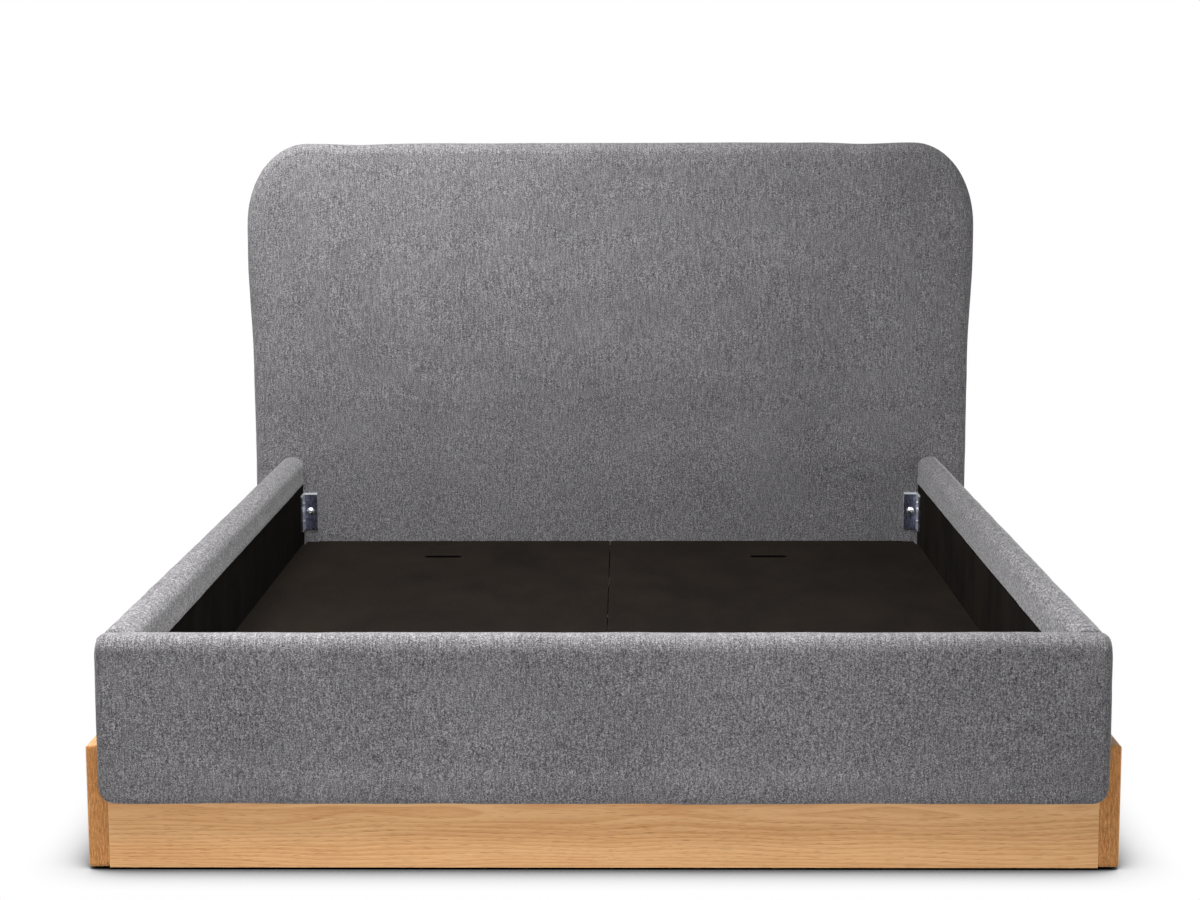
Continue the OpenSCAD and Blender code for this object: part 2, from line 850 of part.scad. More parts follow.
// A bracket in the inside corner at x = 0, y = 0: its bolt leg lies along x, its screw leg along y
module bracket_shape() {
    bend_r = 2;
    difference() {
        linear_extrude(bracket_h) difference() {
            translate([-bolt_leg_l, -screw_leg_l]) square([bolt_leg_l, screw_leg_l]);
            rounded_rect([-bolt_leg_l - 1, -screw_leg_l - 1], [-bracket_t, -bracket_t], 0, bend_r);
            corner_offcut(0, 0, 1, 1, bracket_t);
        }
        translate([-bolt_offset, 1, bracket_h / 2]) rotate([90, 0, 0])
            cylinder(d = bolt_d + 2 * hole_gap, h = bracket_t + 2, $fn = 24);
        for (side = [-1, 1])
            translate([1, -screw_from_corner, bracket_h / 2 + side * screw_pitch / 2])
                rotate([0, -90, 0]) cylinder(d = screw_d + 2 * hole_gap, h = bracket_t + 2, $fn = 24);
    }
}

module head_bracket_shape() {
    translate([lining_face_x, head_y, bracket_z]) bracket_shape();
}

module foot_bracket_shape() {
    translate([lining_face_x, foot_lining_y, bracket_z]) mirror([0, 1, 0]) bracket_shape();
}

module head_bracket_left() {
    color(zinc) mirror([1, 0, 0]) head_bracket_shape();
}

module head_bracket_right() {
    color(zinc) head_bracket_shape();
}

module foot_bracket_left() {
    color(zinc) mirror([1, 0, 0]) foot_bracket_shape();
}

module foot_bracket_right() {
    color(zinc) foot_bracket_shape();
}

// A domed head on the plane z = 0, above it
module domed_head(d, h) {
    dome_r = (h * h + d * d / 4) / (2 * h);
    rotate_extrude($fn = 32) intersection() {
        translate([0, h - dome_r]) circle(dome_r, $fn = 64);
        square([d / 2, h]);
    }
}

// A bolt whose head stands on z = 0 and whose shank points down
module bolt(length) {
    difference() {
        domed_head(bolt_head_d, bolt_head_h);
        translate([0, 0, bolt_head_h - socket_depth])
            cylinder(d = socket_af / cos(30), h = socket_depth + 1, $fn = 6);
    }
    translate([0, 0, -length]) cylinder(d = bolt_d, h = length, $fn = 24);
}

head_bolt_l = washer_t + bracket_t + (frame_back_y - head_y) - bolt_tip_gap;
foot_bolt_l = washer_t + bracket_t + lining_t + core_t - bolt_tip_gap;
head_seat_y = head_y - bracket_t;
foot_seat_y = foot_lining_y + bracket_t;

// Its child turned to point at the headboard, with z = 0 on the bracket
module at_head_bolts() {
    both_sides() translate([bolt_x, head_seat_y, bolt_z]) rotate([90, 0, 0]) children();
}

// Its child turned to point at the foot rail, with z = 0 on the bracket
module at_foot_bolts() {
    both_sides() translate([bolt_x, foot_seat_y, bolt_z]) rotate([-90, 0, 0]) children();
}

module head_bolts() {
    color(zinc) at_head_bolts() translate([0, 0, washer_t]) bolt(head_bolt_l);
}

module foot_bolts() {
    color(zinc) at_foot_bolts() translate([0, 0, washer_t]) bolt(foot_bolt_l);
}

module bolt_washers() {
    color(zinc) {
        at_head_bolts() washer();
        at_foot_bolts() washer();
    }
}

module washer() {
    difference() {
        cylinder(d = washer_d, h = washer_t, $fn = 32);
        translate([0, 0, -1]) cylinder(d = bolt_d + 2 * hole_gap, h = washer_t + 2, $fn = 24);
    }
}

// A tee nut whose flange's flat back is at z = 0; its barrel reaches up
module tee_nut(grow = 0) {
    cylinder(d = nut_flange_d + grow, h = nut_flange_t, $fn = 32);
    cylinder(d = nut_barrel_d + grow, h = nut_barrel_l, $fn = 24);
}

module bored_tee_nut() {
    difference() {
        tee_nut();
        translate([0, 0, -1]) cylinder(d = bolt_d + 2 * hole_gap, h = nut_barrel_l + 2, $fn = 24);
    }
}

head_nut_depth = frame_back_y - head_seat_y;
foot_nut_depth = foot_seat_y - plinth_y;

module head_tee_nuts() {
    color(zinc) at_head_bolts() translate([0, 0, -head_nut_depth]) bored_tee_nut();
}

module foot_tee_nuts() {
    color(zinc) at_foot_bolts() translate([0, 0, -foot_nut_depth]) bored_tee_nut();
}

// Holes through the headboard for the bolts and their tee nuts
module head_bolt_holes() {
    at_head_bolts() {
        translate([0, 0, -head_nut_depth - 1])
            cylinder(d = bolt_d + 2 * hole_gap, h = head_nut_depth + 1, $fn = 24);
        translate([0, 0, -head_nut_depth]) tee_nut(2 * hole_gap);
    }
}

// Holes through the foot rail for the bolts and their tee nuts
module foot_bolt_holes() {
    at_foot_bolts() {
        translate([0, 0, -foot_nut_depth - 1])
            cylinder(d = bolt_d + 2 * hole_gap, h = foot_nut_depth + 1, $fn = 24);
        translate([0, 0, -foot_nut_depth]) tee_nut(2 * hole_gap);
    }
}

// A pan-head wood screw whose head stands on z = 0 and whose shank points down
module pan_screw(grow = 0) {
    if (grow == 0) domed_head(screw_head_d, screw_head_h);
    translate([0, 0, -screw_l]) cylinder(d = screw_d + grow, h = screw_l, $fn = 16);
}

// The screws through the brackets into the side rails
module bracket_screws_all(grow = 0) {
    for (y = [head_y - screw_from_corner, foot_lining_y + screw_from_corner], side = [-1, 1])
        both_sides() translate([lining_face_x - bracket_t, y, bolt_z + side * screw_pitch / 2])
            rotate([0, -90, 0]) pan_screw(grow);
}

module bracket_screws() {
    color(zinc) bracket_screws_all();
}

plinth_side_left();
plinth_side_right();
plinth_front();
plinth_rear();
plinth_corner_blocks();
corner_block_screws();
plinth_glides();
ledger_left();
ledger_right();
ledger_screws();
centre_beam();
beam_seats();
beam_feet();
beam_glides();
deck_bearers();
bearer_screws();
deck_board_left();
deck_board_right();
side_rail_core_left();
side_rail_core_right();
foot_rail_core();
side_rail_foam_left();
side_rail_foam_right();
foot_rail_foam();
side_rail_cover_left();
side_rail_cover_right();
foot_rail_cover();
side_rail_lining_left();
side_rail_lining_right();
foot_rail_lining();
headboard_stile_left();
headboard_stile_right();
headboard_rails();
headboard_centre_posts();
headboard_corner_blocks();
headboard_face_panel();
headboard_bolt_blocks();
headboard_foam();
headboard_cover();
headboard_back_cloth();
headboard_glides();
head_bracket_left();
head_bracket_right();
foot_bracket_left();
foot_bracket_right();
head_bolts();
foot_bolts();
bolt_washers();
head_tee_nuts();
foot_tee_nuts();
bracket_screws();
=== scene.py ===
"""Looks of the upholstered platform bed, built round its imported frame. Everything is in metres."""

import math

import bpy
import numpy as np
from mathutils import Matrix, Vector, noise

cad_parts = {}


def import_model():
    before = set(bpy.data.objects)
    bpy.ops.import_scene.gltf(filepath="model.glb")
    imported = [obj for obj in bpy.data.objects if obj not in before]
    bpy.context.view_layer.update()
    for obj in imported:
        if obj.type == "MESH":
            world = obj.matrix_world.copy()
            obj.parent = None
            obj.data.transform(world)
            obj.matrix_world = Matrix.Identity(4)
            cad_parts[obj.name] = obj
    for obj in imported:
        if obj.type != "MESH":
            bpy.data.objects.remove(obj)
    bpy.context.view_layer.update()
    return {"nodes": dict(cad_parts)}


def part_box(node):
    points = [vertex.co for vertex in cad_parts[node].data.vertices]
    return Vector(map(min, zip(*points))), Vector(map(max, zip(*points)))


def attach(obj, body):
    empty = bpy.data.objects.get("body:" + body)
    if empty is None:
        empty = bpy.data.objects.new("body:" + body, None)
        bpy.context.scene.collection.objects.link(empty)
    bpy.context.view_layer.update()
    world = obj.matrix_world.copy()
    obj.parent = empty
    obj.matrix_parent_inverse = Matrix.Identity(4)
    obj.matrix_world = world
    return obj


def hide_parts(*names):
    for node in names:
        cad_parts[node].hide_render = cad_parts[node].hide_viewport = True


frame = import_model()
scene = bpy.context.scene
nodes = frame["nodes"]

# ---------------------------------------------------------------- sizes, read from the frame

GAP = 0.0003  # between a soft piece and what it covers
SKIN = 0.002  # the upholstery fabric's thickness


def corners(node):
    low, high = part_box(node)
    return np.array(low), np.array(high)


side_lo, side_hi = corners("side_rail_cover_right")
core_lo, core_hi = corners("side_rail_core_right")
lining_lo, lining_hi = corners("side_rail_lining_right")
foot_lo, foot_hi = corners("foot_rail_cover")
foot_core_lo, foot_core_hi = corners("foot_rail_core")
foot_lining_lo, foot_lining_hi = corners("foot_rail_lining")
head_lo, head_hi = corners("headboard_cover")
panel_lo, panel_hi = corners("headboard_face_panel")
cloth_lo, cloth_hi = corners("headboard_back_cloth")
oak_hi = corners("plinth_side_right")[1]
bracket_lo, bracket_hi = corners("head_bracket_right")
bolt_lo, bolt_hi = corners("head_bolts")

hem_z = lining_hi[2] + GAP  # the lower edge of the fabric inside the rails
head_face_y = side_hi[1] + GAP

# ---------------------------------------------------------------- materials


def opaque(value):
    """A colour of three parts with its fourth, and anything else as it is."""
    return (*value, 1) if isinstance(value, tuple) and len(value) == 3 else value


class Shader:
    """One node material: a principled surface and short calls that add nodes to it. The scale of a
    noise is its number of features per metre."""

    RGBA_SOCKETS = (6, 7, 2)  # a mix node's two colour inputs and its colour output

    def __init__(self, name, roughness=0.5, **fixed):
        self.material = bpy.data.materials.new(name)
        self.material.use_nodes = True
        self.tree = self.material.node_tree
        self.tree.nodes.clear()
        output = self.tree.nodes.new("ShaderNodeOutputMaterial")
        self.surface = self.tree.nodes.new("ShaderNodeBsdfPrincipled")
        self.tree.links.new(self.surface.outputs[0], output.inputs["Surface"])
        self.surface.inputs["Roughness"].default_value = roughness
        for key, value in fixed.items():
            self.surface.inputs[key.replace("_", " ")].default_value = value
        self.place = self.add("TexCoord").outputs["Object"]

    def add(self, kind, settings=None, **sockets):
        node = self.tree.nodes.new("ShaderNode" + kind)
        for key, value in (settings or {}).items():
            setattr(node, key, value)
        for key, value in sockets.items():
            name = int(key[1:]) if key[0] == "_" else key.replace("_", " ")
            self.put(node.inputs[name], value)
        return node

    def put(self, socket, value):
        if isinstance(value, bpy.types.NodeSocket):
            self.tree.links.new(value, socket)
        else:
            socket.default_value = value

    def scaled(self, scale, rotation=(0, 0, 0), place=None):
        node = self.add("Mapping", Vector=place or self.place, Scale=scale, Rotation=rotation)
        return node.outputs[0]

    def noise(self, scale, detail=2, roughness=0.5, place=None, distortion=0):
        node = self.add("TexNoise", Vector=place or self.place, Scale=scale, Detail=detail,
                        Roughness=roughness, Distortion=distortion)
        return node.outputs["Fac"]

    def math(self, operation, a, b=0.0, clamp=False):
        return self.add("Math", {"operation": operation, "use_clamp": clamp}, _0=a, _1=b).outputs[0]

    def vector(self, operation, **sockets):
        return self.add("VectorMath", {"operation": operation}, **sockets).outputs

    def spread(self, value, low, high, to_low=0.0, to_high=1.0):
        node = self.add("MapRange", Value=value, From_Min=low, From_Max=high,
                        To_Min=to_low, To_Max=to_high)
        return node.outputs[0]

    def facing(self):
        """The three parts of the normal in the object's own axes."""
        return self.add("SeparateXYZ", Vector=self.add("TexCoord").outputs["Normal"]).outputs

    def ramp(self, value, *stops):
        node = self.add("ValToRGB", Fac=value)
        band = node.color_ramp
        while len(band.elements) < len(stops):
            band.elements.new(0.5)
        for element, (position, colour) in zip(band.elements, stops):
            element.position = position
            element.color = (*colour, 1)
        return node.outputs["Color"]

    def mix(self, factor, a, b, blend="MIX"):
        node = self.add("Mix", {"data_type": "RGBA", "blend_type": blend})
        first, second, result = self.RGBA_SOCKETS
        self.put(node.inputs["Factor"], factor)
        self.put(node.inputs[first], opaque(a))
        self.put(node.inputs[second], opaque(b))
        return node.outputs[result]

    def colour(self, value):
        self.put(self.surface.inputs["Base Color"], opaque(value))

    def rough(self, value):
        self.put(self.surface.inputs["Roughness"], value)

    def bump(self, *layers):
        """Each layer is (height, distance in metres), and the first one lies lowest."""
        normal = None
        for height, distance in layers:
            node = self.add("Bump", Strength=1.0, Distance=distance, Height=height)
            if normal is not None:
                self.put(node.inputs["Normal"], normal)
            normal = node.outputs[0]
        self.put(self.surface.inputs["Normal"], normal)


TUFT_SHARE = 0.18
FELT_TONES = ((0.0, (0.0247, 0.0237, 0.0262)), (0.30, (0.0815, 0.0785, 0.0840)),
              (0.60, (0.157, 0.153, 0.159)), (1.0, (0.325, 0.321, 0.325)))


def felt(name, warp_scale, streak_size, streak_share, grain_scale=(1, 1, 1)):
    """Grey marl felt. warp_scale draws its streaks out, and grain_scale its grain."""
    s = Shader(name, roughness=0.95, Sheen_Weight=0.20, Sheen_Roughness=0.4,
               Sheen_Tint=(0.95, 0.95, 0.95, 1), Specular_IOR_Level=0.05)
    grain = s.noise(520, 2, 0.7, place=s.scaled(grain_scale))
    tuft = s.noise(250, 2, 0.55)
    streak = s.noise(streak_size, 3, 0.6, place=s.scaled(warp_scale))
    cloud = s.noise(5, 2)
    grain_share = 1 - TUFT_SHARE - streak_share
    value = s.math("ADD", s.math("MULTIPLY", grain, grain_share),
                   s.math("MULTIPLY", tuft, TUFT_SHARE))
    value = s.math("ADD", value, s.math("MULTIPLY", streak, streak_share))
    value = s.spread(value, 0.365, 0.635)
    value = s.math("ADD", value, s.spread(cloud, 0.3, 0.7, -0.035, 0.035))
    s.colour(s.ramp(value, *FELT_TONES))
    s.bump((tuft, 0.0006), (grain, 0.0006))
    return s.material


def lining_cloth(name):
    """Black cloth with a fine weave and soft, slightly worn patches."""
    s = Shader(name, roughness=1.0, Specular_IOR_Level=0.04)
    weave = s.noise(900, 2, 0.6)
    patch = s.noise(11, 4, 0.62, place=s.scaled((1, 1, 0.5)))
    mottle = s.math("ADD", s.math("MULTIPLY", weave, 0.55), s.math("MULTIPLY", patch, 0.45))
    s.colour(s.ramp(mottle, (0.38, (0.0016, 0.0012, 0.0010)), (0.60, (0.0088, 0.0066, 0.0052))))
    s.bump((patch, 0.004), (weave, 0.0003))
    return s.material


def deck_face(name):
    """The black face of the deck boards. Their sides, and the slots' walls, are darker."""
    s = Shader(name, roughness=1.0, Specular_IOR_Level=0.06)
    grit = s.noise(430, 3, 0.7)
    patch = s.noise(9, 4, 0.6, place=s.scaled((1, 0.5, 1)))
    tone = s.math("ADD", s.math("MULTIPLY", grit, 0.78), s.math("MULTIPLY", patch, 0.22))
    face = s.ramp(tone, (0.38, (0.0012, 0.0009, 0.0006)), (0.62, (0.0128, 0.0094, 0.0066)))
    flat = s.spread(s.math("ABSOLUTE", s.facing()[2]), 0.6, 0.9)
    s.colour(s.mix(flat, (0.0008, 0.0006, 0.0005), face))
    s.bump((grit, 0.0009))
    return s.material


def shade(colour, share):
    return tuple(min(1.0, share * v) for v in colour)


def wood(name, along, pith, ring, light, dark, pore, end, roughness):
    """Timber whose year rings run round a pith line. along is its length's axis, 0 for X, 1 for Y
    and 2 for Z; pith is a point on the pith line, ring a year's growth, and end the tint of its
    cut ends."""
    s = Shader(name, roughness=roughness, Specular_IOR_Level=0.06)

    def drawn(share):
        """The mapping scale that draws a noise out along the timber."""
        scale = [1.0, 1.0, 1.0]
        scale[along] = share
        return tuple(scale)

    # year rings, bent by a slow drift
    offset = s.vector("SUBTRACT", _0=s.place, _1=pith)[0]
    drift = s.add("TexNoise", Vector=s.scaled(drawn(0.16), place=offset), Scale=9, Detail=2,
                  Roughness=0.45).outputs["Color"]
    wander = s.vector("SUBTRACT", _0=drift, _1=(0.5, 0.5, 0.5))[0]
    bent = s.vector("MULTIPLY_ADD", _0=wander, _1=(RING_WANDER,) * 3, _2=offset)[0]
    radius = s.vector("LENGTH", _0=s.scaled(drawn(0.012), place=bent))["Value"]
    uneven = s.noise(26, 2, 0.5, place=s.scaled(drawn(0.03)))
    year = s.math("FRACT", s.math("ADD", s.math("DIVIDE", radius, ring),
                                  s.math("MULTIPLY", uneven, 1.6)))
    late = s.math("MULTIPLY", s.spread(year, 0.45, 0.93), s.spread(year, 1.0, 0.93))
    early = s.math("MULTIPLY", s.spread(year, 0.0, 0.14), s.spread(year, 0.34, 0.18))

    # fine strands, broad bands and dark pores along the timber
    strands = s.noise(760, 4, 0.65, place=s.scaled(drawn(0.012), place=bent))
    bands = s.noise(30, 3, 0.55, place=s.scaled(drawn(0.05), place=bent))
    flecks = s.spread(s.noise(1100, 1, 0.5, place=s.scaled(drawn(0.03))), 0.63, 0.72)
    tone = s.math("ADD", s.math("MULTIPLY", late, 0.24), s.spread(strands, 0.30, 0.70, 0.0, 0.38))
    tone = s.math("SUBTRACT", tone, s.math("MULTIPLY", early, 0.16))
    tone = s.math("ADD", tone, s.spread(bands, 0.3, 0.7, -0.12, 0.22), clamp=True)
    body = s.mix(tone, light, dark)
    body = s.mix(s.math("MULTIPLY", flecks, 0.24), body, pore)

    # cut ends, with upright rays and pits
    cut = s.spread(s.math("ABSOLUTE", s.facing()[along]), 0.55, 0.8)
    tall = (1.0, 1.0, 0.16) if along != 2 else (1.0, 0.16, 1.0)
    rays = s.spread(s.noise(420, 3, 0.62, place=s.scaled(tall)), 0.34, 0.66)
    pits = s.spread(s.noise(900, 2, 0.6, place=s.scaled(shade(tall, 3))), 0.50, 0.66)
    sawn = s.mix(rays, shade(end, 0.72), shade(end, 1.28))
    sawn = s.mix(s.math("MULTIPLY", pits, 0.55), sawn, shade(end, 0.45))

    s.colour(s.mix(1.0, body, s.mix(cut, (1.0, 1.0, 1.0), sawn), "MULTIPLY"))
    s.rough(s.spread(strands, 0.3, 0.7, roughness - 0.06, roughness + 0.08))
    s.bump((strands, 0.0002), (s.math("SUBTRACT", 1.0, flecks), 0.0003),
           (s.math("MULTIPLY", rays, cut), 0.0006))
    return s.material


RING_WANDER = 0.060
OAK = dict(ring=0.0050, light=(0.730, 0.432, 0.208), dark=(0.480, 0.192, 0.054),
           pore=(0.27, 0.10, 0.032), end=(0.83, 0.67, 0.52))
PINE = dict(ring=0.006, light=(0.76, 0.58, 0.36), dark=(0.55, 0.35, 0.17),
            pore=(0.42, 0.25, 0.11), end=(0.80, 0.74, 0.68))
OVER_ALL = 10.0  # a height above every piece


def zinc(name, tint, highlight_colour, roughness, top=OVER_ALL):
    """Bright zinc with a painted highlight. The highlight colour is painted where it faces up or
    sideways, and in the last few millimetres below the height top, as a bright top edge."""
    s = Shader(name, roughness=roughness, Metallic=1.0)
    grain = s.noise(240, 2, 0.5, place=s.scaled((1, 1, 0.3)))
    cloud = s.noise(24, 2, 0.5)
    facing = s.facing()
    height = s.add("SeparateXYZ", Vector=s.place).outputs[2]
    # painted highlight where the faces look up, and where they look sideways along X
    up = s.spread(facing[2], 0.25, 0.8)
    side = s.spread(s.math("ABSOLUTE", facing[0]), 0.4, 0.9, 0.0, 0.75)
    # rim is the painted highlight's mask, with a painted bright band just below the height top
    rim = s.math("MAXIMUM", s.math("MAXIMUM", up, side),
                 s.spread(height, top - 0.005, top - 0.0035))
    tone = s.math("ADD", s.math("MULTIPLY", grain, 0.05), s.math("MULTIPLY", cloud, 0.95))
    face = s.ramp(tone, (0.35, shade(tint, 0.75)), (0.65, shade(tint, 1.25)))
    s.colour(s.mix(rim, face, highlight_colour))
    plain = s.spread(grain, 0.3, 0.7, roughness - 0.04, roughness + 0.08)
    s.rough(s.mix(rim, plain, (0.5, 0.5, 0.5)))
    return s.material


def plastic(name, tone):
    s = Shader(name, roughness=0.55)
    speck = s.noise(700, 2)
    s.colour(s.ramp(speck, (0.3, shade(tone, 0.8)), (0.7, tone)))
    s.bump((speck, 0.0002))
    return s.material


def plywood(name):
    s = Shader(name, roughness=0.7)
    figure = s.noise(26, 4, 0.6, place=s.scaled((0.12, 1, 1)), distortion=0.6)
    s.colour(s.ramp(figure, (0.3, (0.62, 0.45, 0.27)), (0.7, (0.74, 0.58, 0.38))))
    s.bump((figure, 0.0003))
    return s.material


felt_x = felt("felt_headboard_foot", warp_scale=(1, 0.12, 0.12), streak_size=330, streak_share=0.22)
felt_y = felt("felt_side_rails", warp_scale=(0.5, 1, 0.5), streak_size=190, streak_share=0.30,
              grain_scale=(0.65, 0.18, 0.65))
black_lining = lining_cloth("black_lining")
board_black = deck_face("deck_black")
oak_side = wood("oak_sides", 1, (0.0, 0.0, 0.07), roughness=0.42, **OAK)
oak_ends = wood("oak_ends", 0, (0.0, -1.020, 0.105), roughness=0.42, **OAK)
pine_x = wood("pine_across", 0, (0.0, 0.1, -0.5), roughness=0.6, **PINE)
pine_y = wood("pine_along", 1, (0.1, 0.0, -0.4), roughness=0.6, **PINE)
pine_z = wood("pine_upright", 2, (0.2, 0.3, 0.0), roughness=0.6, **PINE)
panel_wood = plywood("face_panel_wood")
# the plates' tint is blue zinc, darkened to stand for the dark surroundings they reflect, a painted
# reflection; their highlight colour and the band below top are painted highlights
zinc_plate = zinc("zinc_plate", tint=(0.21, 0.215, 0.31), highlight_colour=(0.85, 0.90, 0.92), roughness=0.26,
                  top=bracket_hi[2])
# the fixings' highlight colour is a painted highlight on faces that look up or sideways
zinc_screw = zinc("zinc_fixings", tint=(0.50, 0.50, 0.50), highlight_colour=(0.85, 0.86, 0.88), roughness=0.22)
brown_glide = plastic("brown_glide", (0.11, 0.055, 0.03))

BRACKETS = ("head_bracket_left", "head_bracket_right", "foot_bracket_left", "foot_bracket_right")
MATERIALS = (
    (oak_side, ("plinth_side_left", "plinth_side_right")),
    (oak_ends, ("plinth_front", "plinth_rear")),
    (pine_x, ("deck_bearers", "foot_rail_core", "headboard_rails", "headboard_bolt_blocks")),
    (pine_y, ("ledger_left", "ledger_right", "centre_beam", "side_rail_core_left",
              "side_rail_core_right")),
    (pine_z, ("plinth_corner_blocks", "beam_seats", "beam_feet", "headboard_stile_left",
              "headboard_stile_right", "headboard_centre_posts", "headboard_corner_blocks")),
    (panel_wood, ("headboard_face_panel",)),
    (board_black, ("deck_board_left", "deck_board_right")),
    (zinc_plate, BRACKETS),
    (zinc_screw, ("head_bolts", "foot_bolts", "bolt_washers", "head_tee_nuts", "foot_tee_nuts",
                  "bracket_screws", "bearer_screws", "ledger_screws", "corner_block_screws")),
    (brown_glide, ("plinth_glides", "beam_glides", "headboard_glides")),
)
for material, names in MATERIALS:
    for name in names:
        nodes[name].data.materials.clear()
        nodes[name].data.materials.append(material)

for name in BRACKETS:
    worn = nodes[name].modifiers.new("worn_edges", "BEVEL")
    worn.width = 0.0012
    worn.segments = 3
    worn.limit_method = "ANGLE"
    worn.angle_limit = math.radians(50)

# ---------------------------------------------------------------- mesh helpers


SHARP_DEG = 40


def make(name, points, faces, material, sharp_deg=SHARP_DEG):
    mesh = bpy.data.meshes.new(name)
    mesh.from_pydata([tuple(map(float, p)) for p in points], [], faces)
    mesh.validate()
    mesh.materials.append(material)
    piece = bpy.data.objects.new(name, mesh)
    scene.collection.objects.link(piece)
    smooth(piece, sharp_deg)
    return piece


def smooth(piece, sharp_deg=SHARP_DEG):
    """Smooth shading, but for edges sharper than sharp_deg."""
    mesh = piece.data
    mesh.shade_smooth()
    mesh.set_sharp_from_angle(angle=math.radians(sharp_deg))


def settle(piece):
    """Applies the piece's modifiers to its mesh."""
    graph = bpy.context.evaluated_depsgraph_get()
    graph.update()
    mesh = bpy.data.meshes.new_from_object(piece.evaluated_get(graph), depsgraph=graph)
    mesh.name = piece.name
    piece.modifiers.clear()
    piece.data = mesh


def loops_to_faces(loops, size, start=0):
    """Quads between neighbouring closed loops of the same size. The first point is number start."""
    faces = []
    for j in range(loops - 1):
        for k in range(size):
            a = start + j * size + k
            b = start + j * size + (k + 1) % size
            faces.append((a, b, b + size, a + size))
    return faces


BOX_FACES = [(0, 1, 3, 2), (4, 6, 7, 5), (0, 4, 5, 1), (2, 3, 7, 6), (0, 2, 6, 4), (1, 5, 7, 3)]


def cut_boxes(piece, boxes):
    """Takes boxes, as (low, high), out of a closed piece."""
    for low, high in boxes:
        x0, y0, z0 = low
        x1, y1, z1 = high
        points = [(x, y, z) for x in (x0, x1) for y in (y0, y1) for z in (z0, z1)]
        mesh = bpy.data.meshes.new("cutter")
        mesh.from_pydata(points, [], BOX_FACES)
        cutter = bpy.data.objects.new("cutter", mesh)
        scene.collection.objects.link(cutter)
        cut = piece.modifiers.new("cut", "BOOLEAN")
        cut.operation = "DIFFERENCE"
        cut.solver = "EXACT"
        cut.object = cutter
        settle(piece)
        bpy.data.objects.remove(cutter)


def ripple(points, amount, size, seed=0.0):
    """Smooth noise at each point, between -amount and amount."""
    shift = Vector((seed, -seed, 0.5 * seed))
    return np.array([amount * noise.noise(Vector(p) / size + shift) for p in points])


def push_out(piece, amount, size, seed, free):
    """Moves each vertex along its normal by smooth noise, where free allows it."""
    mesh = piece.data
    points = vertex_array(mesh)
    normals = np.empty(len(points) * 3)
    mesh.vertex_normals.foreach_get("vector", normals)
    normals = normals.reshape(-1, 3)
    shift = ripple(points, amount, size, seed) * free(points)
    points = points + normals * shift[:, None]
    mesh.vertices.foreach_set("co", points.ravel())
    mesh.update()


def vertex_array(mesh):
    points = np.empty(len(mesh.vertices) * 3)
    mesh.vertices.foreach_get("co", points)
    return points.reshape(-1, 3)


CLOTH = dict(quality=5, mass=0.4, tension_stiffness=25, compression_stiffness=25,
             shear_stiffness=10, bending_stiffness=4, use_pressure=True)
CLOTH_FRAMES = 20
HOLD_LEVELS = 10
HOLD_FADE = 4  # how fast the shift grows where the fabric begins to be loose


def fill_out(piece, loose_at, reach, pressure):
    """Blows the piece's fabric out by a cloth simulation. It is held where loose_at gives 0, and no
    point moves further than reach. The result is applied to the mesh, and no cloth stays on it."""
    rest = vertex_array(piece.data)
    loose = loose_at(rest)
    hold = piece.vertex_groups.new(name="hold")
    for level in range(HOLD_LEVELS + 1):
        picked = np.flatnonzero(np.round(loose * HOLD_LEVELS) == level)
        if len(picked):
            hold.add([int(i) for i in picked], 1 - level / HOLD_LEVELS, "REPLACE")
    cloth = piece.modifiers.new("cloth", "CLOTH")
    for key, value in CLOTH.items():
        setattr(cloth.settings, key, value)
    cloth.settings.uniform_pressure_force = pressure
    cloth.settings.effector_weights.gravity = 0
    cloth.settings.vertex_group_mass = hold.name
    cloth.collision_settings.use_collision = False
    cloth.point_cache.frame_start = 1
    cloth.point_cache.frame_end = CLOTH_FRAMES
    for step in range(1, CLOTH_FRAMES + 1):
        scene.frame_set(step)
    graph = bpy.context.evaluated_depsgraph_get()
    moved = vertex_array(piece.evaluated_get(graph).data)
    piece.modifiers.remove(cloth)
    piece.vertex_groups.remove(hold)
    scene.frame_set(1)
    shift = moved - rest
    length = np.maximum(np.linalg.norm(shift, axis=1), 1e-9)
    limited = reach * np.tanh(length / reach) / length
    shift *= (limited * np.minimum(1, HOLD_FADE * loose))[:, None]
    piece.data.vertices.foreach_set("co", (rest + shift).ravel())
    piece.data.update()


def between(value, low, high):
    """0 below low, 1 above high, and a smooth step between them."""
    t = np.clip((value - low) / (high - low), 0, 1)
    return t * t * (3 - 2 * t)


def arc_drop(t, r):
    """How far a quarter circle of radius r falls back at a distance t before its end."""
    t = np.clip(t, 0, r)
    return r - math.sqrt(max(r * r - (r - t) ** 2, 0.0))


# ---------------------------------------------------------------- headboard

TOP_W = 0.152  # a top corner's width and height
TOP_H = 0.200
LOW_R = 0.012  # a bottom corner's radius
EDGE_R = 0.024  # the round between face and edge
BACK_R = 0.003  # the small round between edge and back, its middle, and a loop past it
BACK_MID = 0.0009
BACK_LOOP = 0.012
SWELL = 0.0095  # how far the sides swell above the middle
CROWN = 0.006  # how far the face bulges
TOP_DIP = 0.0032  # how far the top edge sinks beside its corners
LIP = 0.026  # the fabric turned over onto the back
LIP_R = 0.001
FRAME_DEPTH = 0.040  # the timber behind the face panel
WADDING = 0.008  # between fabric and timber at the sides and top
LOW_WADDING = 0.003  # and at the bottom

ARC_STEPS = 9
LOW_STEPS = 2
SIDE_STEPS = 62
TOP_STEPS = 96
EDGE_STEPS = 8
DEPTH_STEPS = 4

half_w = head_hi[0] - SWELL
top_z = head_hi[2]
bottom_z = head_lo[2]
arc_x = head_hi[0] - TOP_W
arc_z = top_z - TOP_H


def side_x(z):
    """The outline's half width at a height below the top corners."""
    return half_w + SWELL * between(z, arc_z - 0.35, arc_z - 0.07)


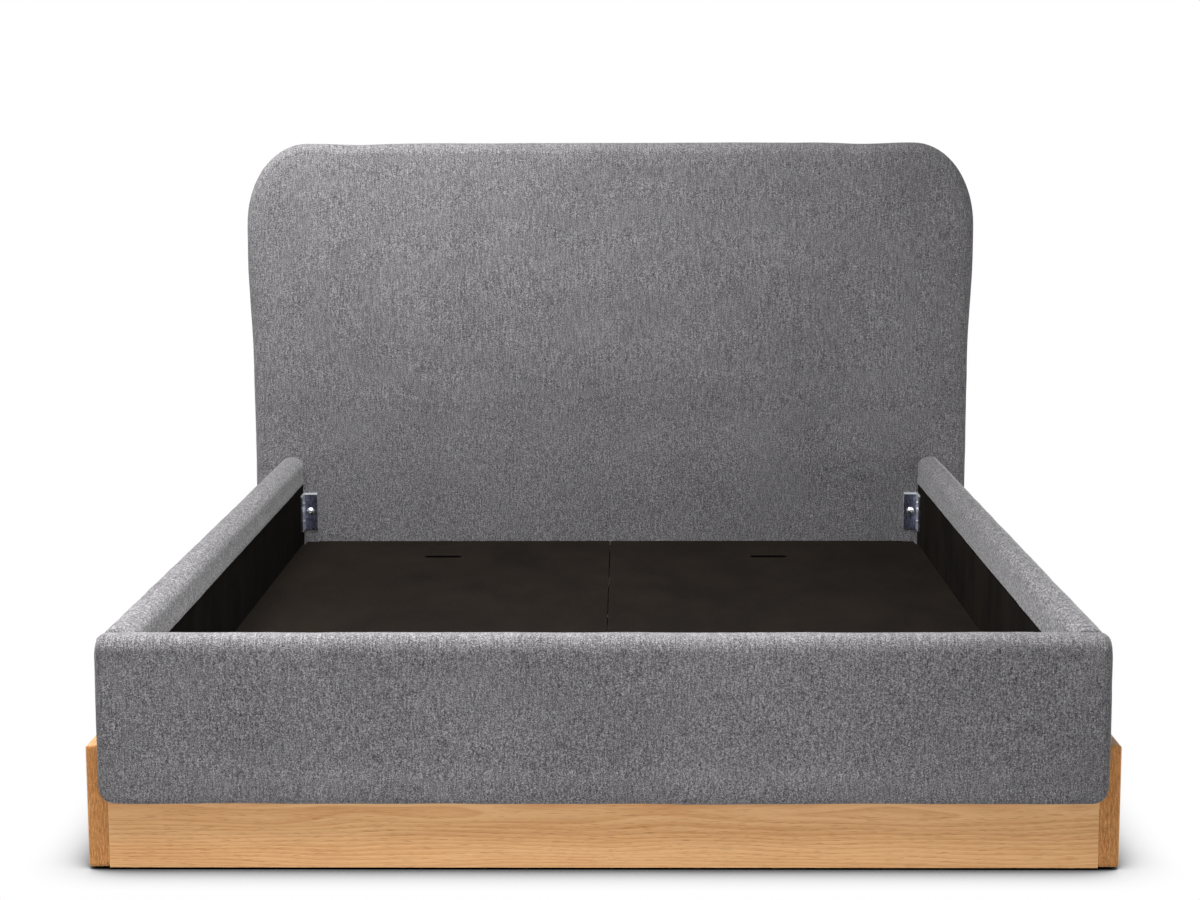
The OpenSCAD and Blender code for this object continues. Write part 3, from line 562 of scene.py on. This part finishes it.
def head_outline(inset, low_inset=None):
    """The outline, moved in by inset, as one closed loop in four parts: bottom, right, top and
    left, each from corner to corner. The corners are the middles of the corner arcs."""
    low_inset = inset if low_inset is None else low_inset
    low_r = max(LOW_R - inset, 0.0006)
    low_x = half_w - inset - low_r
    low_z = bottom_z + low_inset + low_r
    w, h = TOP_W - inset, TOP_H - inset
    right = []
    for k in range(LOW_STEPS):
        a = math.radians(-45 + 45 * k / LOW_STEPS)
        right.append((low_x + low_r * math.cos(a), low_z + low_r * math.sin(a)))
    for k in range(SIDE_STEPS):
        z = low_z + (arc_z - low_z) * k / SIDE_STEPS
        right.append((side_x(z) - inset, z))
    for k in range(ARC_STEPS):
        a = math.radians(45 * k / ARC_STEPS)
        right.append((arc_x + w * math.cos(a), arc_z + h * math.sin(a)))
    top = []
    for k in range(ARC_STEPS):
        a = math.radians(45 + 45 * k / ARC_STEPS)
        top.append((arc_x + w * math.cos(a), arc_z + h * math.sin(a)))
    for k in range(TOP_STEPS):
        top.append((arc_x * (1 - 2 * k / TOP_STEPS), arc_z + h))
    for k in range(ARC_STEPS):
        a = math.radians(90 + 45 * k / ARC_STEPS)
        top.append((-arc_x + w * math.cos(a), arc_z + h * math.sin(a)))
    mirrored = [(-x, z) for x, z in right[::-1]]
    a = math.radians(45)
    left = [(-arc_x - w * math.cos(a), arc_z + h * math.sin(a))] + mirrored[:-1]
    low_steps = len(top) - 2 * LOW_STEPS
    bottom = []
    for k in range(LOW_STEPS):
        a = math.radians(225 + 45 * k / LOW_STEPS)
        bottom.append((-low_x + low_r * math.cos(a), low_z + low_r * math.sin(a)))
    for k in range(low_steps):
        bottom.append((low_x * (2 * k / low_steps - 1), low_z - low_r))
    for k in range(LOW_STEPS):
        a = math.radians(270 + 45 * k / LOW_STEPS)
        bottom.append((low_x + low_r * math.cos(a), low_z + low_r * math.sin(a)))
    return [np.array(part) for part in (bottom, right, top, left)]


def patch(parts):
    """A grid of points inside a four-part outline, rows from bottom to top, by a Coons patch."""
    bottom, right, top, left = parts
    low = np.vstack([bottom, right[:1]])
    high = np.vstack([top, left[:1]])[::-1]
    east = np.vstack([right, top[:1]])
    west = np.vstack([left, bottom[:1]])[::-1]
    u = np.linspace(0, 1, len(low))[None, :, None]
    v = np.linspace(0, 1, len(east))[:, None, None]
    flat = (1 - v) * low[None] + v * high[None] + (1 - u) * west[:, None] + u * east[:, None]
    flat -= ((1 - u) * (1 - v) * low[0] + u * (1 - v) * low[-1]
             + (1 - u) * v * high[0] + u * v * high[-1])
    return flat


def rim_indices(rows, columns):
    """The grid's border as a loop in the outline's own order."""
    return ([c for c in range(columns - 1)]
            + [r * columns + columns - 1 for r in range(rows - 1)]
            + [(rows - 1) * columns + c for c in range(columns - 1, 0, -1)]
            + [r * columns for r in range(rows - 1, 0, -1)])


def crown(x, z):
    """How far the face bulges at a point."""
    across = 1 - np.abs(x / half_w) ** 3
    up = between(z, 0.43, 0.73) * (1 - between(z, 0.78, top_z))
    return CROWN * np.clip(across, 0, 1) * up


def top_dip(x, z):
    """Where the top edge sinks a little beside the round corners."""
    near = np.exp(-((np.abs(x) - 0.625) / 0.065) ** 2)
    return TOP_DIP * near * between(z, top_z - 0.10, top_z)


def headboard_rings():
    """The loops behind the face, as (inset, inset at the bottom, y): round the edge, along it, over
    the lip on the back and down inside the fabric to the frame's front."""
    back = head_hi[1]
    rings = []
    for k in range(1, EDGE_STEPS + 1):
        a = math.radians(90 - 90 * k / EDGE_STEPS)
        rings.append((EDGE_R * (1 - math.cos(a)), None, head_face_y + EDGE_R * (1 - math.sin(a))))
    depth = back - head_face_y - EDGE_R - BACK_R
    rings += [(0.0, None, head_face_y + EDGE_R + depth * k / DEPTH_STEPS)
              for k in range(1, DEPTH_STEPS + 1)]
    pocket_y = panel_hi[1] + FRAME_DEPTH + GAP
    rings += [(BACK_MID, None, back - BACK_MID), (BACK_R, None, back), (BACK_LOOP, None, back),
              (LIP - LIP_R, None, back), (LIP, None, back - LIP_R), (LIP, None, pocket_y)]
    inner = SKIN + WADDING
    low_inner = SKIN + LOW_WADDING
    rings += [(inner, low_inner, pocket_y), (inner, low_inner, panel_lo[1] - GAP)]
    return rings


def headboard():
    grid = patch(head_outline(EDGE_R))
    rows, columns = grid.shape[:2]
    x, z = grid[..., 0].ravel(), grid[..., 1].ravel()
    points = [np.stack([x, head_face_y - crown(x, z), z], 1)]
    faces = []
    for r in range(rows - 1):
        for c in range(columns - 1):
            a = r * columns + c
            faces.append((a, a + 1, a + columns + 1, a + columns))
    rings = headboard_rings()
    size = 2 * (rows - 1) + 2 * (columns - 1)
    start = rows * columns
    rim = rim_indices(rows, columns)
    for inset, low_inset, y in rings:
        loop = np.vstack(head_outline(inset, low_inset))
        points.append(np.stack([loop[:, 0], np.full(len(loop), y), loop[:, 1]], 1))
    for k in range(size):
        n = (k + 1) % size
        faces.append((rim[n], rim[k], start + k, start + n)[::-1])
    faces += [face[::-1] for face in loops_to_faces(len(rings), size, start)]
    faces.append(tuple(range(start + (len(rings) - 1) * size, start + len(rings) * size))[::-1])
    points = np.vstack(points)
    points[:, 2] -= top_dip(points[:, 0], points[:, 2])
    return make("headboard_upholstery", points, faces, felt_x)


def head_free(points):
    """1 on the padded face and edges, falling to 0 at the back."""
    return between(head_hi[1] - 0.012 - points[:, 1], 0, 0.02)


def head_loose(points):
    """The headboard's fabric is loose above the mattress, and held at its back."""
    return head_free(points) * between(points[:, 2], 0.42, 0.56)


BLOCK_MARGIN = 0.014  # the bolt block round the bracket
BOLT_R = 0.009
HOLE_R = 0.0045
CUT_PAST = 0.001  # how far the block's cut reaches past the foam


def bolt_block_boxes():
    """The room for the bolt blocks behind the fabric, and a hole in the fabric for each bolt."""
    low = np.array([bracket_lo[0] - BLOCK_MARGIN, head_face_y + SKIN, bracket_lo[2] - BLOCK_MARGIN])
    high = np.array([bracket_hi[0] + BLOCK_MARGIN, panel_lo[1] + CUT_PAST,
                     bracket_hi[2] + BLOCK_MARGIN])
    low, high = low - GAP, high + GAP
    bolt_x = bolt_hi[0] - BOLT_R
    bolt_z = (bolt_hi[2] + bolt_lo[2]) / 2
    boxes = []
    for sign in (-1, 1):
        xs = sorted((sign * low[0], sign * high[0]))
        boxes.append(((xs[0], low[1], low[2]), (xs[1], high[1], high[2])))
        boxes.append(((sign * bolt_x - HOLE_R, head_face_y - 0.02, bolt_z - HOLE_R),
                      (sign * bolt_x + HOLE_R, low[1] + 0.005, bolt_z + HOLE_R)))
    return boxes


head_pad = headboard()
fill_out(head_pad, head_loose, 0.003, 0.35)
push_out(head_pad, 0.0011, 0.16, 3.1, head_free)
push_out(head_pad, 0.0004, 0.035, 7.7, head_free)
cut_boxes(head_pad, bolt_block_boxes())
smooth(head_pad)
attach(head_pad, "bed_frame")
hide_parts("headboard_cover", "headboard_foam")

# ---------------------------------------------------------------- padded rails

CREST_H = 0.025  # the height and depth of the rounds beside a rail's crest
CREST_D = 0.0245
HEM_BUMP = 0.0009  # how far the turned hem stands proud
HEM_LOW = (-0.004, 0.001)  # where it rises and falls again, as heights over its edge
HEM_HIGH = (0.012, 0.017)
HEM_REACH = 0.004  # the section's points this near the inner face belong to the hem
CUT_OVER = 0.05  # how far a cutting box goes past the rail
OVERLAP = 0.001  # how far two such boxes overlap


def section(a0, a1, z0, z1, low_r, counts):
    """A rail's section as a closed loop of (a, z), from its back bottom corner up the back (a1),
    over the crest, down the front (a0) and along the bottom. counts says how many points each
    stretch has: back, arc, crest, front, low arc and bottom."""
    back, arc, crest, front, low, bottom = counts
    loop = []
    for k in range(back):
        loop.append((a1, z0 + (z1 - CREST_H - z0) * k / back))
    for k in range(arc):
        t = math.radians(90 * k / arc)
        loop.append((a1 - CREST_D * (1 - math.cos(t)), z1 - CREST_H * (1 - math.sin(t))))
    for k in range(crest):
        loop.append((a1 - CREST_D + (a0 + 2 * CREST_D - a1) * k / crest, z1))
    for k in range(arc):
        t = math.radians(90 - 90 * k / arc)
        loop.append((a0 + CREST_D * (1 - math.cos(t)), z1 - CREST_H * (1 - math.sin(t))))
    for k in range(front):
        loop.append((a0, z1 - CREST_H + (z0 + low_r - z1 + CREST_H) * k / front))
    for k in range(low):
        t = math.radians(90 * k / low)
        loop.append((a0 + low_r * (1 - math.cos(t)), z0 + low_r * (1 - math.sin(t))))
    for k in range(bottom):
        loop.append((a0 + low_r + (a1 - a0 - low_r) * k / bottom, z0))
    return np.array(loop)


def hem_fold(a, z, inward):
    """The turned hem stands a little proud just above its edge."""
    rise = between(z, hem_z + HEM_LOW[0], hem_z + HEM_LOW[1])
    fall = 1 - between(z, hem_z + HEM_HIGH[0], hem_z + HEM_HIGH[1])
    return a + inward * HEM_BUMP * rise * fall


def rail_mesh(name, rings, material, flip):
    """A closed skin over the rail's sections. flip turns its faces over."""
    size = len(rings[0])
    points = np.vstack(rings)
    faces = loops_to_faces(len(rings), size)
    faces.append(tuple(range(size))[::-1])
    last = (len(rings) - 1) * size
    faces.append(tuple(range(last, last + size)))
    if flip:
        faces = [f[::-1] for f in faces]
    return make(name, points, faces, material)


def side_rail(sign):
    side = "right" if sign > 0 else "left"
    counts = (26, 9, 3, 26, 4, 6)
    y0, y1 = side_lo[1], side_hi[1]
    foot_r, head_r, low_r = 0.008, 0.003, 0.0006
    foot_steps, steps, head_steps = 6, 130, 4
    stations = [y0 + foot_r * (1 - math.cos(math.radians(90 * k / foot_steps)))
                for k in range(foot_steps)]
    stations += list(np.linspace(y0 + foot_r, y1 - head_r, steps))
    stations += [y1 - head_r * (1 - math.sin(math.radians(90 * k / head_steps)))
                 for k in range(1, head_steps + 1)]
    rings = []
    for y in stations:
        drop = arc_drop(y - y0, foot_r) + arc_drop(y1 - y, head_r)
        loop = section(side_lo[0] + drop, side_hi[0] - drop, side_lo[2], side_hi[2] - drop, low_r,
                       counts)
        inner = loop[:, 0] < side_lo[0] + HEM_REACH
        loop[inner, 0] = hem_fold(loop[inner, 0], loop[inner, 1], -1)
        rings.append(np.stack([sign * loop[:, 0], np.full(len(loop), y), loop[:, 1]], 1))
    rail = rail_mesh("side_rail_upholstery_" + side, rings, felt_y, sign < 0)

    def free(points):
        """1 away from the rail's bottom and ends."""
        return (between(points[:, 2], side_lo[2] + 0.004, side_lo[2] + 0.03)
                * between(points[:, 1], y0, y0 + 0.03) * between(-points[:, 1], -y1, -y1 + 0.03))

    def loose(points):
        """The rail's fabric is also held on the inner face, where it lies on the timber."""
        off_inside = between(np.abs(points[:, 0]), side_lo[0] + 0.003, side_lo[0] + 0.035)
        return free(points) * off_inside

    fill_out(rail, loose, 0.0015, 0.2)
    push_out(rail, 0.0010, 0.11, 11.3 * sign, free)
    push_out(rail, 0.0004, 0.03, 5.9 * sign, free)
    core = ((core_lo[0] - GAP, y0 - CUT_OVER, 0),
            (core_hi[0] + GAP, y1 + CUT_OVER, core_hi[2] + GAP))
    under_hem = ((side_lo[0] - CUT_OVER, y0 - CUT_OVER, 0), (core_lo[0], y1 + CUT_OVER, hem_z))
    boxes = []
    for low, high in (core, under_hem):
        xs = sorted((sign * low[0], sign * high[0]))
        boxes.append(((xs[0], low[1], low[2]), (xs[1], high[1], high[2])))
    cut_boxes(rail, boxes)
    smooth(rail)
    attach(rail, "bed_frame")
    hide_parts("side_rail_cover_" + side, "side_rail_foam_" + side)


def foot_rail():
    counts = (26, 9, 3, 28, 5, 6)
    x1 = foot_hi[0]
    front_r, low_r, top_r, edge_r = 0.015, 0.030, 0.018, 0.008
    span = 0.034  # the stretch at each end that the rounds need close stations for
    end_steps, steps = 14, 112
    ends = [span * (1 - math.cos(math.radians(90 * k / end_steps))) for k in range(end_steps)]
    middle = list(np.linspace(span - x1, x1 - span, steps))
    stations = [t - x1 for t in ends] + middle + [x1 - t for t in ends[::-1]]
    rings = []
    for x in stations:
        t = x1 - abs(x)
        front = foot_lo[1] + arc_drop(t, front_r)
        low = foot_lo[2] + arc_drop(t, low_r)
        top = foot_hi[2] - arc_drop(t, top_r)
        loop = section(front, foot_hi[1], low, top, edge_r, counts)
        inner = loop[:, 0] > foot_hi[1] - HEM_REACH
        loop[inner, 0] = hem_fold(loop[inner, 0], loop[inner, 1], 1)
        rings.append(np.stack([np.full(len(loop), x), loop[:, 0], loop[:, 1]], 1))
    rail = rail_mesh("foot_rail_upholstery", rings, felt_x, True)

    def free(points):
        """1 in front of the inner face."""
        return between(foot_hi[1] - points[:, 1], 0, 0.012)

    def loose(points):
        """The fabric is held on the inner face, at the ends and at the bottom."""
        return (between(foot_hi[1] - points[:, 1], 0.003, 0.035)
                * between(x1 - np.abs(points[:, 0]), 0.004, 0.05)
                * between(points[:, 2], foot_lo[2] + 0.01, foot_lo[2] + 0.06))

    fill_out(rail, loose, 0.0018, 0.2)
    push_out(rail, 0.0011, 0.13, 2.2, free)
    push_out(rail, 0.0004, 0.032, 9.4, free)
    half = foot_core_hi[0] + GAP
    low_y, high_y = foot_core_lo[1] - GAP, foot_hi[1] + CUT_OVER
    ledge_z = oak_hi[2] + GAP
    cut_boxes(rail, [
        ((-half, low_y, 0), (half, foot_core_hi[1] + GAP, foot_core_hi[2] + GAP)),
        ((-half, low_y, 0), (half, high_y, hem_z)),
        ((half - OVERLAP, low_y, 0), (x1 + CUT_OVER, high_y, ledge_z)),
        ((-x1 - CUT_OVER, low_y, 0), (OVERLAP - half, high_y, ledge_z)),
    ])
    smooth(rail)
    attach(rail, "bed_frame")
    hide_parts("foot_rail_cover", "foot_rail_foam")


side_rail(-1)
side_rail(1)
foot_rail()

# ---------------------------------------------------------------- linings


def slab(name, front, back, material):
    """A thin closed sheet between two grids of points."""
    rows, columns = front.shape[:2]
    count = rows * columns
    points = np.vstack([front.reshape(-1, 3), back.reshape(-1, 3)])
    faces = []
    for r in range(rows - 1):
        for c in range(columns - 1):
            a = r * columns + c
            quad = (a, a + 1, a + columns + 1, a + columns)
            faces.append(quad)
            faces.append(tuple(count + i for i in quad[::-1]))
    rim = rim_indices(rows, columns)
    for a, b in zip(rim, rim[1:] + rim[:1]):
        faces.append((b, a, count + a, count + b))
    return make(name, points, faces, material, 60)


WRINKLE = 0.0004  # how far a lining's wrinkles rise and sink
WRINKLE_ROOM = 0.0003  # how far its mean face lies inside the solid it stands for
CLOTH_WRINKLE_ROOM = 0.0005
BACK_IN = 0.0001  # and its back
UPRIGHT = (1, 1, 2.5)  # draws wrinkles out along Z


def wrinkled(grid, seed, stretch):
    """Large and small wrinkles for a grid of points, drawn out by stretch."""
    flat = grid.reshape(-1, 3) / np.array(stretch)
    lift = ripple(flat, WRINKLE, 0.05, seed) + ripple(flat, WRINKLE * 0.5, 0.018, seed + 4)
    return lift.reshape(grid.shape[:2])


def lining_grid(low, high, axis, steps):
    """An even grid of points over a lining, with steps along the axis and 22 up."""
    along = np.linspace(low[axis], high[axis], steps)
    up = np.linspace(low[2], high[2], 22)
    grid = np.zeros((len(up), len(along), 3))
    grid[..., axis] = along[None]
    grid[..., 2] = up[:, None]
    return grid


def side_lining(sign):
    side = "right" if sign > 0 else "left"
    grid = lining_grid(lining_lo, lining_hi, 1, 170)
    front, back = grid.copy(), grid.copy()
    lift = wrinkled(grid, 20 * sign, UPRIGHT)
    front[..., 0] = sign * (lining_lo[0] + WRINKLE_ROOM - lift)
    back[..., 0] = sign * (lining_hi[0] - BACK_IN)
    if sign > 0:
        front, back = front[:, ::-1], back[:, ::-1]
    piece = slab("side_lining_" + side, front, back, black_lining)
    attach(piece, "bed_frame")
    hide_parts("side_rail_lining_" + side)


def foot_lining():
    grid = lining_grid(foot_lining_lo, foot_lining_hi, 0, 130)
    front, back = grid.copy(), grid.copy()
    lift = wrinkled(grid, 31, UPRIGHT)
    front[..., 1] = foot_lining_hi[1] - WRINKLE_ROOM + lift
    back[..., 1] = foot_lining_lo[1] + BACK_IN
    piece = slab("foot_lining", front[:, ::-1], back[:, ::-1], black_lining)
    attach(piece, "bed_frame")
    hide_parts("foot_rail_lining")


def back_cloth():
    """The cloth over the headboard's open back, inside the fabric's lip."""
    flat = patch(head_outline(LIP + GAP))
    rows, columns = flat.shape[:2]
    grid = np.zeros((rows, columns, 3))
    grid[..., 0] = flat[..., 0]
    grid[..., 2] = flat[..., 1]
    front, back = grid.copy(), grid.copy()
    lift = wrinkled(grid, 47, (1.6, 1, 1.6))
    front[..., 1] = cloth_hi[1] - CLOTH_WRINKLE_ROOM + lift
    back[..., 1] = cloth_lo[1] + BACK_IN
    piece = slab("headboard_dust_cloth", front[:, ::-1], back[:, ::-1], black_lining)
    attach(piece, "bed_frame")
    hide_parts("headboard_back_cloth")


side_lining(-1)
side_lining(1)
foot_lining()
back_cloth()


STAPLE_INSET = 0.009  # from the fabric's lip to the row of staples
STAPLE_PITCH = 0.048
STAPLE_TILT = 0.12  # the spread of their angles, in radians
STAPLE_SUNK = 0.0002  # how far their line lies under the cloth's face
# one half of a staple from its leg to its crown, as distances along it and out of the cloth
STAPLE_HALF = ((0.005, -0.0014), (0.0049, 0.0001), (0.0044, 0.0005))
WIRE_R = 0.00035
WIRE_FLAT = 1.6  # the wire is this much wider than thick
WIRE_SIDES = 6


def staples():
    """Wire staples round the edge of the cloth on the headboard's back."""
    line = np.vstack(head_outline(LIP + STAPLE_INSET))
    line = np.vstack([line, line[:1]])
    steps = np.hypot(*np.diff(line, axis=0).T)
    run = np.concatenate([[0], np.cumsum(steps)])
    count = int(run[-1] / STAPLE_PITCH)
    rng = np.random.default_rng(5)
    points, faces = [], []
    out = np.array([0, 1.0, 0])
    for k in range(count):
        at = (k + 0.5) * run[-1] / count
        ahead = at + 0.004
        x, z = np.interp(at, run, line[:, 0]), np.interp(at, run, line[:, 1])
        x2, z2 = np.interp(ahead, run, line[:, 0]), np.interp(ahead, run, line[:, 1])
        angle = math.atan2(z2 - z, x2 - x) + rng.normal(0, STAPLE_TILT)
        along = np.array([math.cos(angle), 0, math.sin(angle)])
        side = np.array([-math.sin(angle), 0, math.cos(angle)])
        centre = np.array([x, cloth_hi[1] - STAPLE_SUNK, z])
        path = [centre - along * reach + out * rise for reach, rise in STAPLE_HALF]
        path += [centre + along * reach + out * rise for reach, rise in STAPLE_HALF[::-1]]
        start = len(points)
        for j, p in enumerate(path):
            forward = path[min(j + 1, len(path) - 1)] - path[max(j - 1, 0)]
            third = np.cross(forward / np.linalg.norm(forward), side)
            for q in range(WIRE_SIDES):
                t = 2 * math.pi * q / WIRE_SIDES
                points.append(p + WIRE_R * (math.cos(t) * side * WIRE_FLAT + math.sin(t) * third))
        faces += loops_to_faces(len(path), WIRE_SIDES, start)
        faces.append(tuple(range(start, start + WIRE_SIDES))[::-1])
        faces.append(tuple(range(len(points) - WIRE_SIDES, len(points))))
    piece = make("headboard_staples", np.vstack(points), faces, zinc_screw)
    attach(piece, "bed_frame")


staples()

# ---------------------------------------------------------------- stage, light and camera


FLOOR_HALF = 40
FLOOR_ALBEDO = (0.38, 0.38, 0.38)  # what it gives back to the bed, not what the camera sees
CONTACT_REACH = 0.115
CONTACT_TONES = ((0.0, 0.0), (0.50, 0.10), (0.60, 0.44), (0.70, 0.67), (0.79, 0.83), (0.90, 0.94),
                 (0.985, 1.0))
UNDER_REACH = 0.9  # a wider shade, which darkens the floor under the bed only


def floor():
    """White to the camera but for the bed's soft shade, and a diffuse surface to other light."""
    half = FLOOR_HALF
    mesh = bpy.data.meshes.new("floor")
    mesh.from_pydata([(-half, -half, 0), (half, -half, 0), (half, half, 0), (-half, half, 0)], [],
                     [(0, 1, 2, 3)])
    piece = bpy.data.objects.new("floor", mesh)
    scene.collection.objects.link(piece)
    s = Shader("floor_white", roughness=0.9, Specular_IOR_Level=0.1)
    s.colour(FLOOR_ALBEDO)
    near = s.add("AmbientOcclusion", {"samples": 24}, Distance=CONTACT_REACH).outputs["AO"]
    shade_near = s.ramp(near, *((at, (tone,) * 3) for at, tone in CONTACT_TONES))
    far = s.add("AmbientOcclusion", {"samples": 16}, Distance=UNDER_REACH).outputs["AO"]
    seen = s.add("Emission", Color=shade_near, Strength=s.spread(far, 0.14, 0.50))
    path = s.add("LightPath")
    direct = s.math("MAXIMUM", path.outputs["Is Camera Ray"],
                    s.math("MAXIMUM", path.outputs["Is Glossy Ray"],
                           path.outputs["Is Transmission Ray"]))
    final = s.add("MixShader", _0=direct, _1=s.surface.outputs[0], _2=seen.outputs[0])
    output = next(n for n in s.tree.nodes if n.type == "OUTPUT_MATERIAL")
    s.tree.links.new(final.outputs[0], output.inputs["Surface"])
    mesh.materials.append(s.material)


def world(strength):
    """A plain white background for the camera, and an even light of the given strength."""
    sky = bpy.data.worlds.new("studio")
    scene.world = sky
    sky.use_nodes = True
    tree = sky.node_tree
    tree.nodes.clear()
    path = tree.nodes.new("ShaderNodeLightPath")
    peak = tree.nodes.new("ShaderNodeMath")
    peak.operation = "MAXIMUM"
    tree.links.new(path.outputs["Is Camera Ray"], peak.inputs[0])
    most = tree.nodes.new("ShaderNodeMath")
    most.operation = "MAXIMUM"
    tree.links.new(path.outputs["Is Glossy Ray"], most.inputs[0])
    tree.links.new(path.outputs["Is Transmission Ray"], most.inputs[1])
    tree.links.new(most.outputs[0], peak.inputs[1])
    light = tree.nodes.new("ShaderNodeBackground")
    light.inputs["Strength"].default_value = strength
    white = tree.nodes.new("ShaderNodeBackground")
    white.inputs["Strength"].default_value = 1.0
    for node in (light, white):
        node.inputs["Color"].default_value = (1, 1, 1, 1)
    pick = tree.nodes.new("ShaderNodeMixShader")
    output = tree.nodes.new("ShaderNodeOutputWorld")
    tree.links.new(peak.outputs[0], pick.inputs[0])
    tree.links.new(light.outputs[0], pick.inputs[1])
    tree.links.new(white.outputs[0], pick.inputs[2])
    tree.links.new(pick.outputs[0], output.inputs["Surface"])


def lamp(name, place, target, size, power):
    """A soft rectangular lamp at place that shines on target, out of the camera's sight."""
    data = bpy.data.lights.new(name, "AREA")
    data.shape = "RECTANGLE"
    data.size, data.size_y = size
    data.energy = power
    piece = bpy.data.objects.new(name, data)
    piece.location = place
    piece.rotation_mode = "QUATERNION"
    piece.rotation_quaternion = (Vector(target) - Vector(place)).to_track_quat("-Z", "Y")
    piece.visible_camera = False
    scene.collection.objects.link(piece)


# name, place, target, size and power in watts
LAMPS = (
    ("crest", (-0.45, -1.35, 2.0), (-0.45, -1.80, 0.39), (2.0, 0.5), 112),
    ("over_left", (-1.0, 0.0, 2.6), (-0.85, 0.0, 0.39), (0.9, 1.6), 40),
    ("head_left", (-0.7, 0.35, 2.15), (-0.35, 1.0, 1.08), (1.5, 0.5), 43),
    ("low_front", (0.7, -4.8, 0.6), (0.0, -1.08, 0.2), (2.4, 1.0), 44),
    # for the sides, too low to reach over the rails, and for the back
    ("right", (4.6, 0.5, 0.22), (0.9, 0.0, 0.2), (2.4, 0.4), 75),
    ("left", (-4.6, 0.5, 0.22), (-0.9, 0.0, 0.2), (2.4, 0.4), 45),
    ("behind", (0.4, 5.2, 1.4), (0.0, 1.1, 0.6), (2.4, 1.4), 70),
)
WORLD_STRENGTH = 0.175

floor()
world(WORLD_STRENGTH)
for each in LAMPS:
    lamp(*each)

# the photo's camera, from a fit to about 40 measured edges
FOCAL_PX = 2327.2
FRAME_PX = 1200
SENSOR_MM = 36
PITCH_DEG = 7.80
YAW_DEG = 0.617
ROLL_DEG = -0.146
CAMERA_X = 0.037
CAMERA_TO_FOOT = 3.676
CAMERA_Z = 1.2016
FAR_CLIP = 200
camera_data = bpy.data.cameras.new("camera")
camera_data.sensor_fit = "HORIZONTAL"
camera_data.sensor_width = SENSOR_MM
camera_data.lens = FOCAL_PX / FRAME_PX * SENSOR_MM
camera_data.clip_end = FAR_CLIP
camera = bpy.data.objects.new("camera", camera_data)
scene.collection.objects.link(camera)
turn = (Matrix.Rotation(math.radians(YAW_DEG), 4, "Z")
        @ Matrix.Rotation(math.radians(90 - PITCH_DEG), 4, "X")
        @ Matrix.Rotation(math.radians(ROLL_DEG), 4, "Z"))
place = Matrix.Translation((CAMERA_X, foot_lo[1] - CAMERA_TO_FOOT, CAMERA_Z))
camera.matrix_world = place @ turn
scene.camera = camera
scene.view_settings.view_transform = "Standard"

bpy.context.view_layer.update()
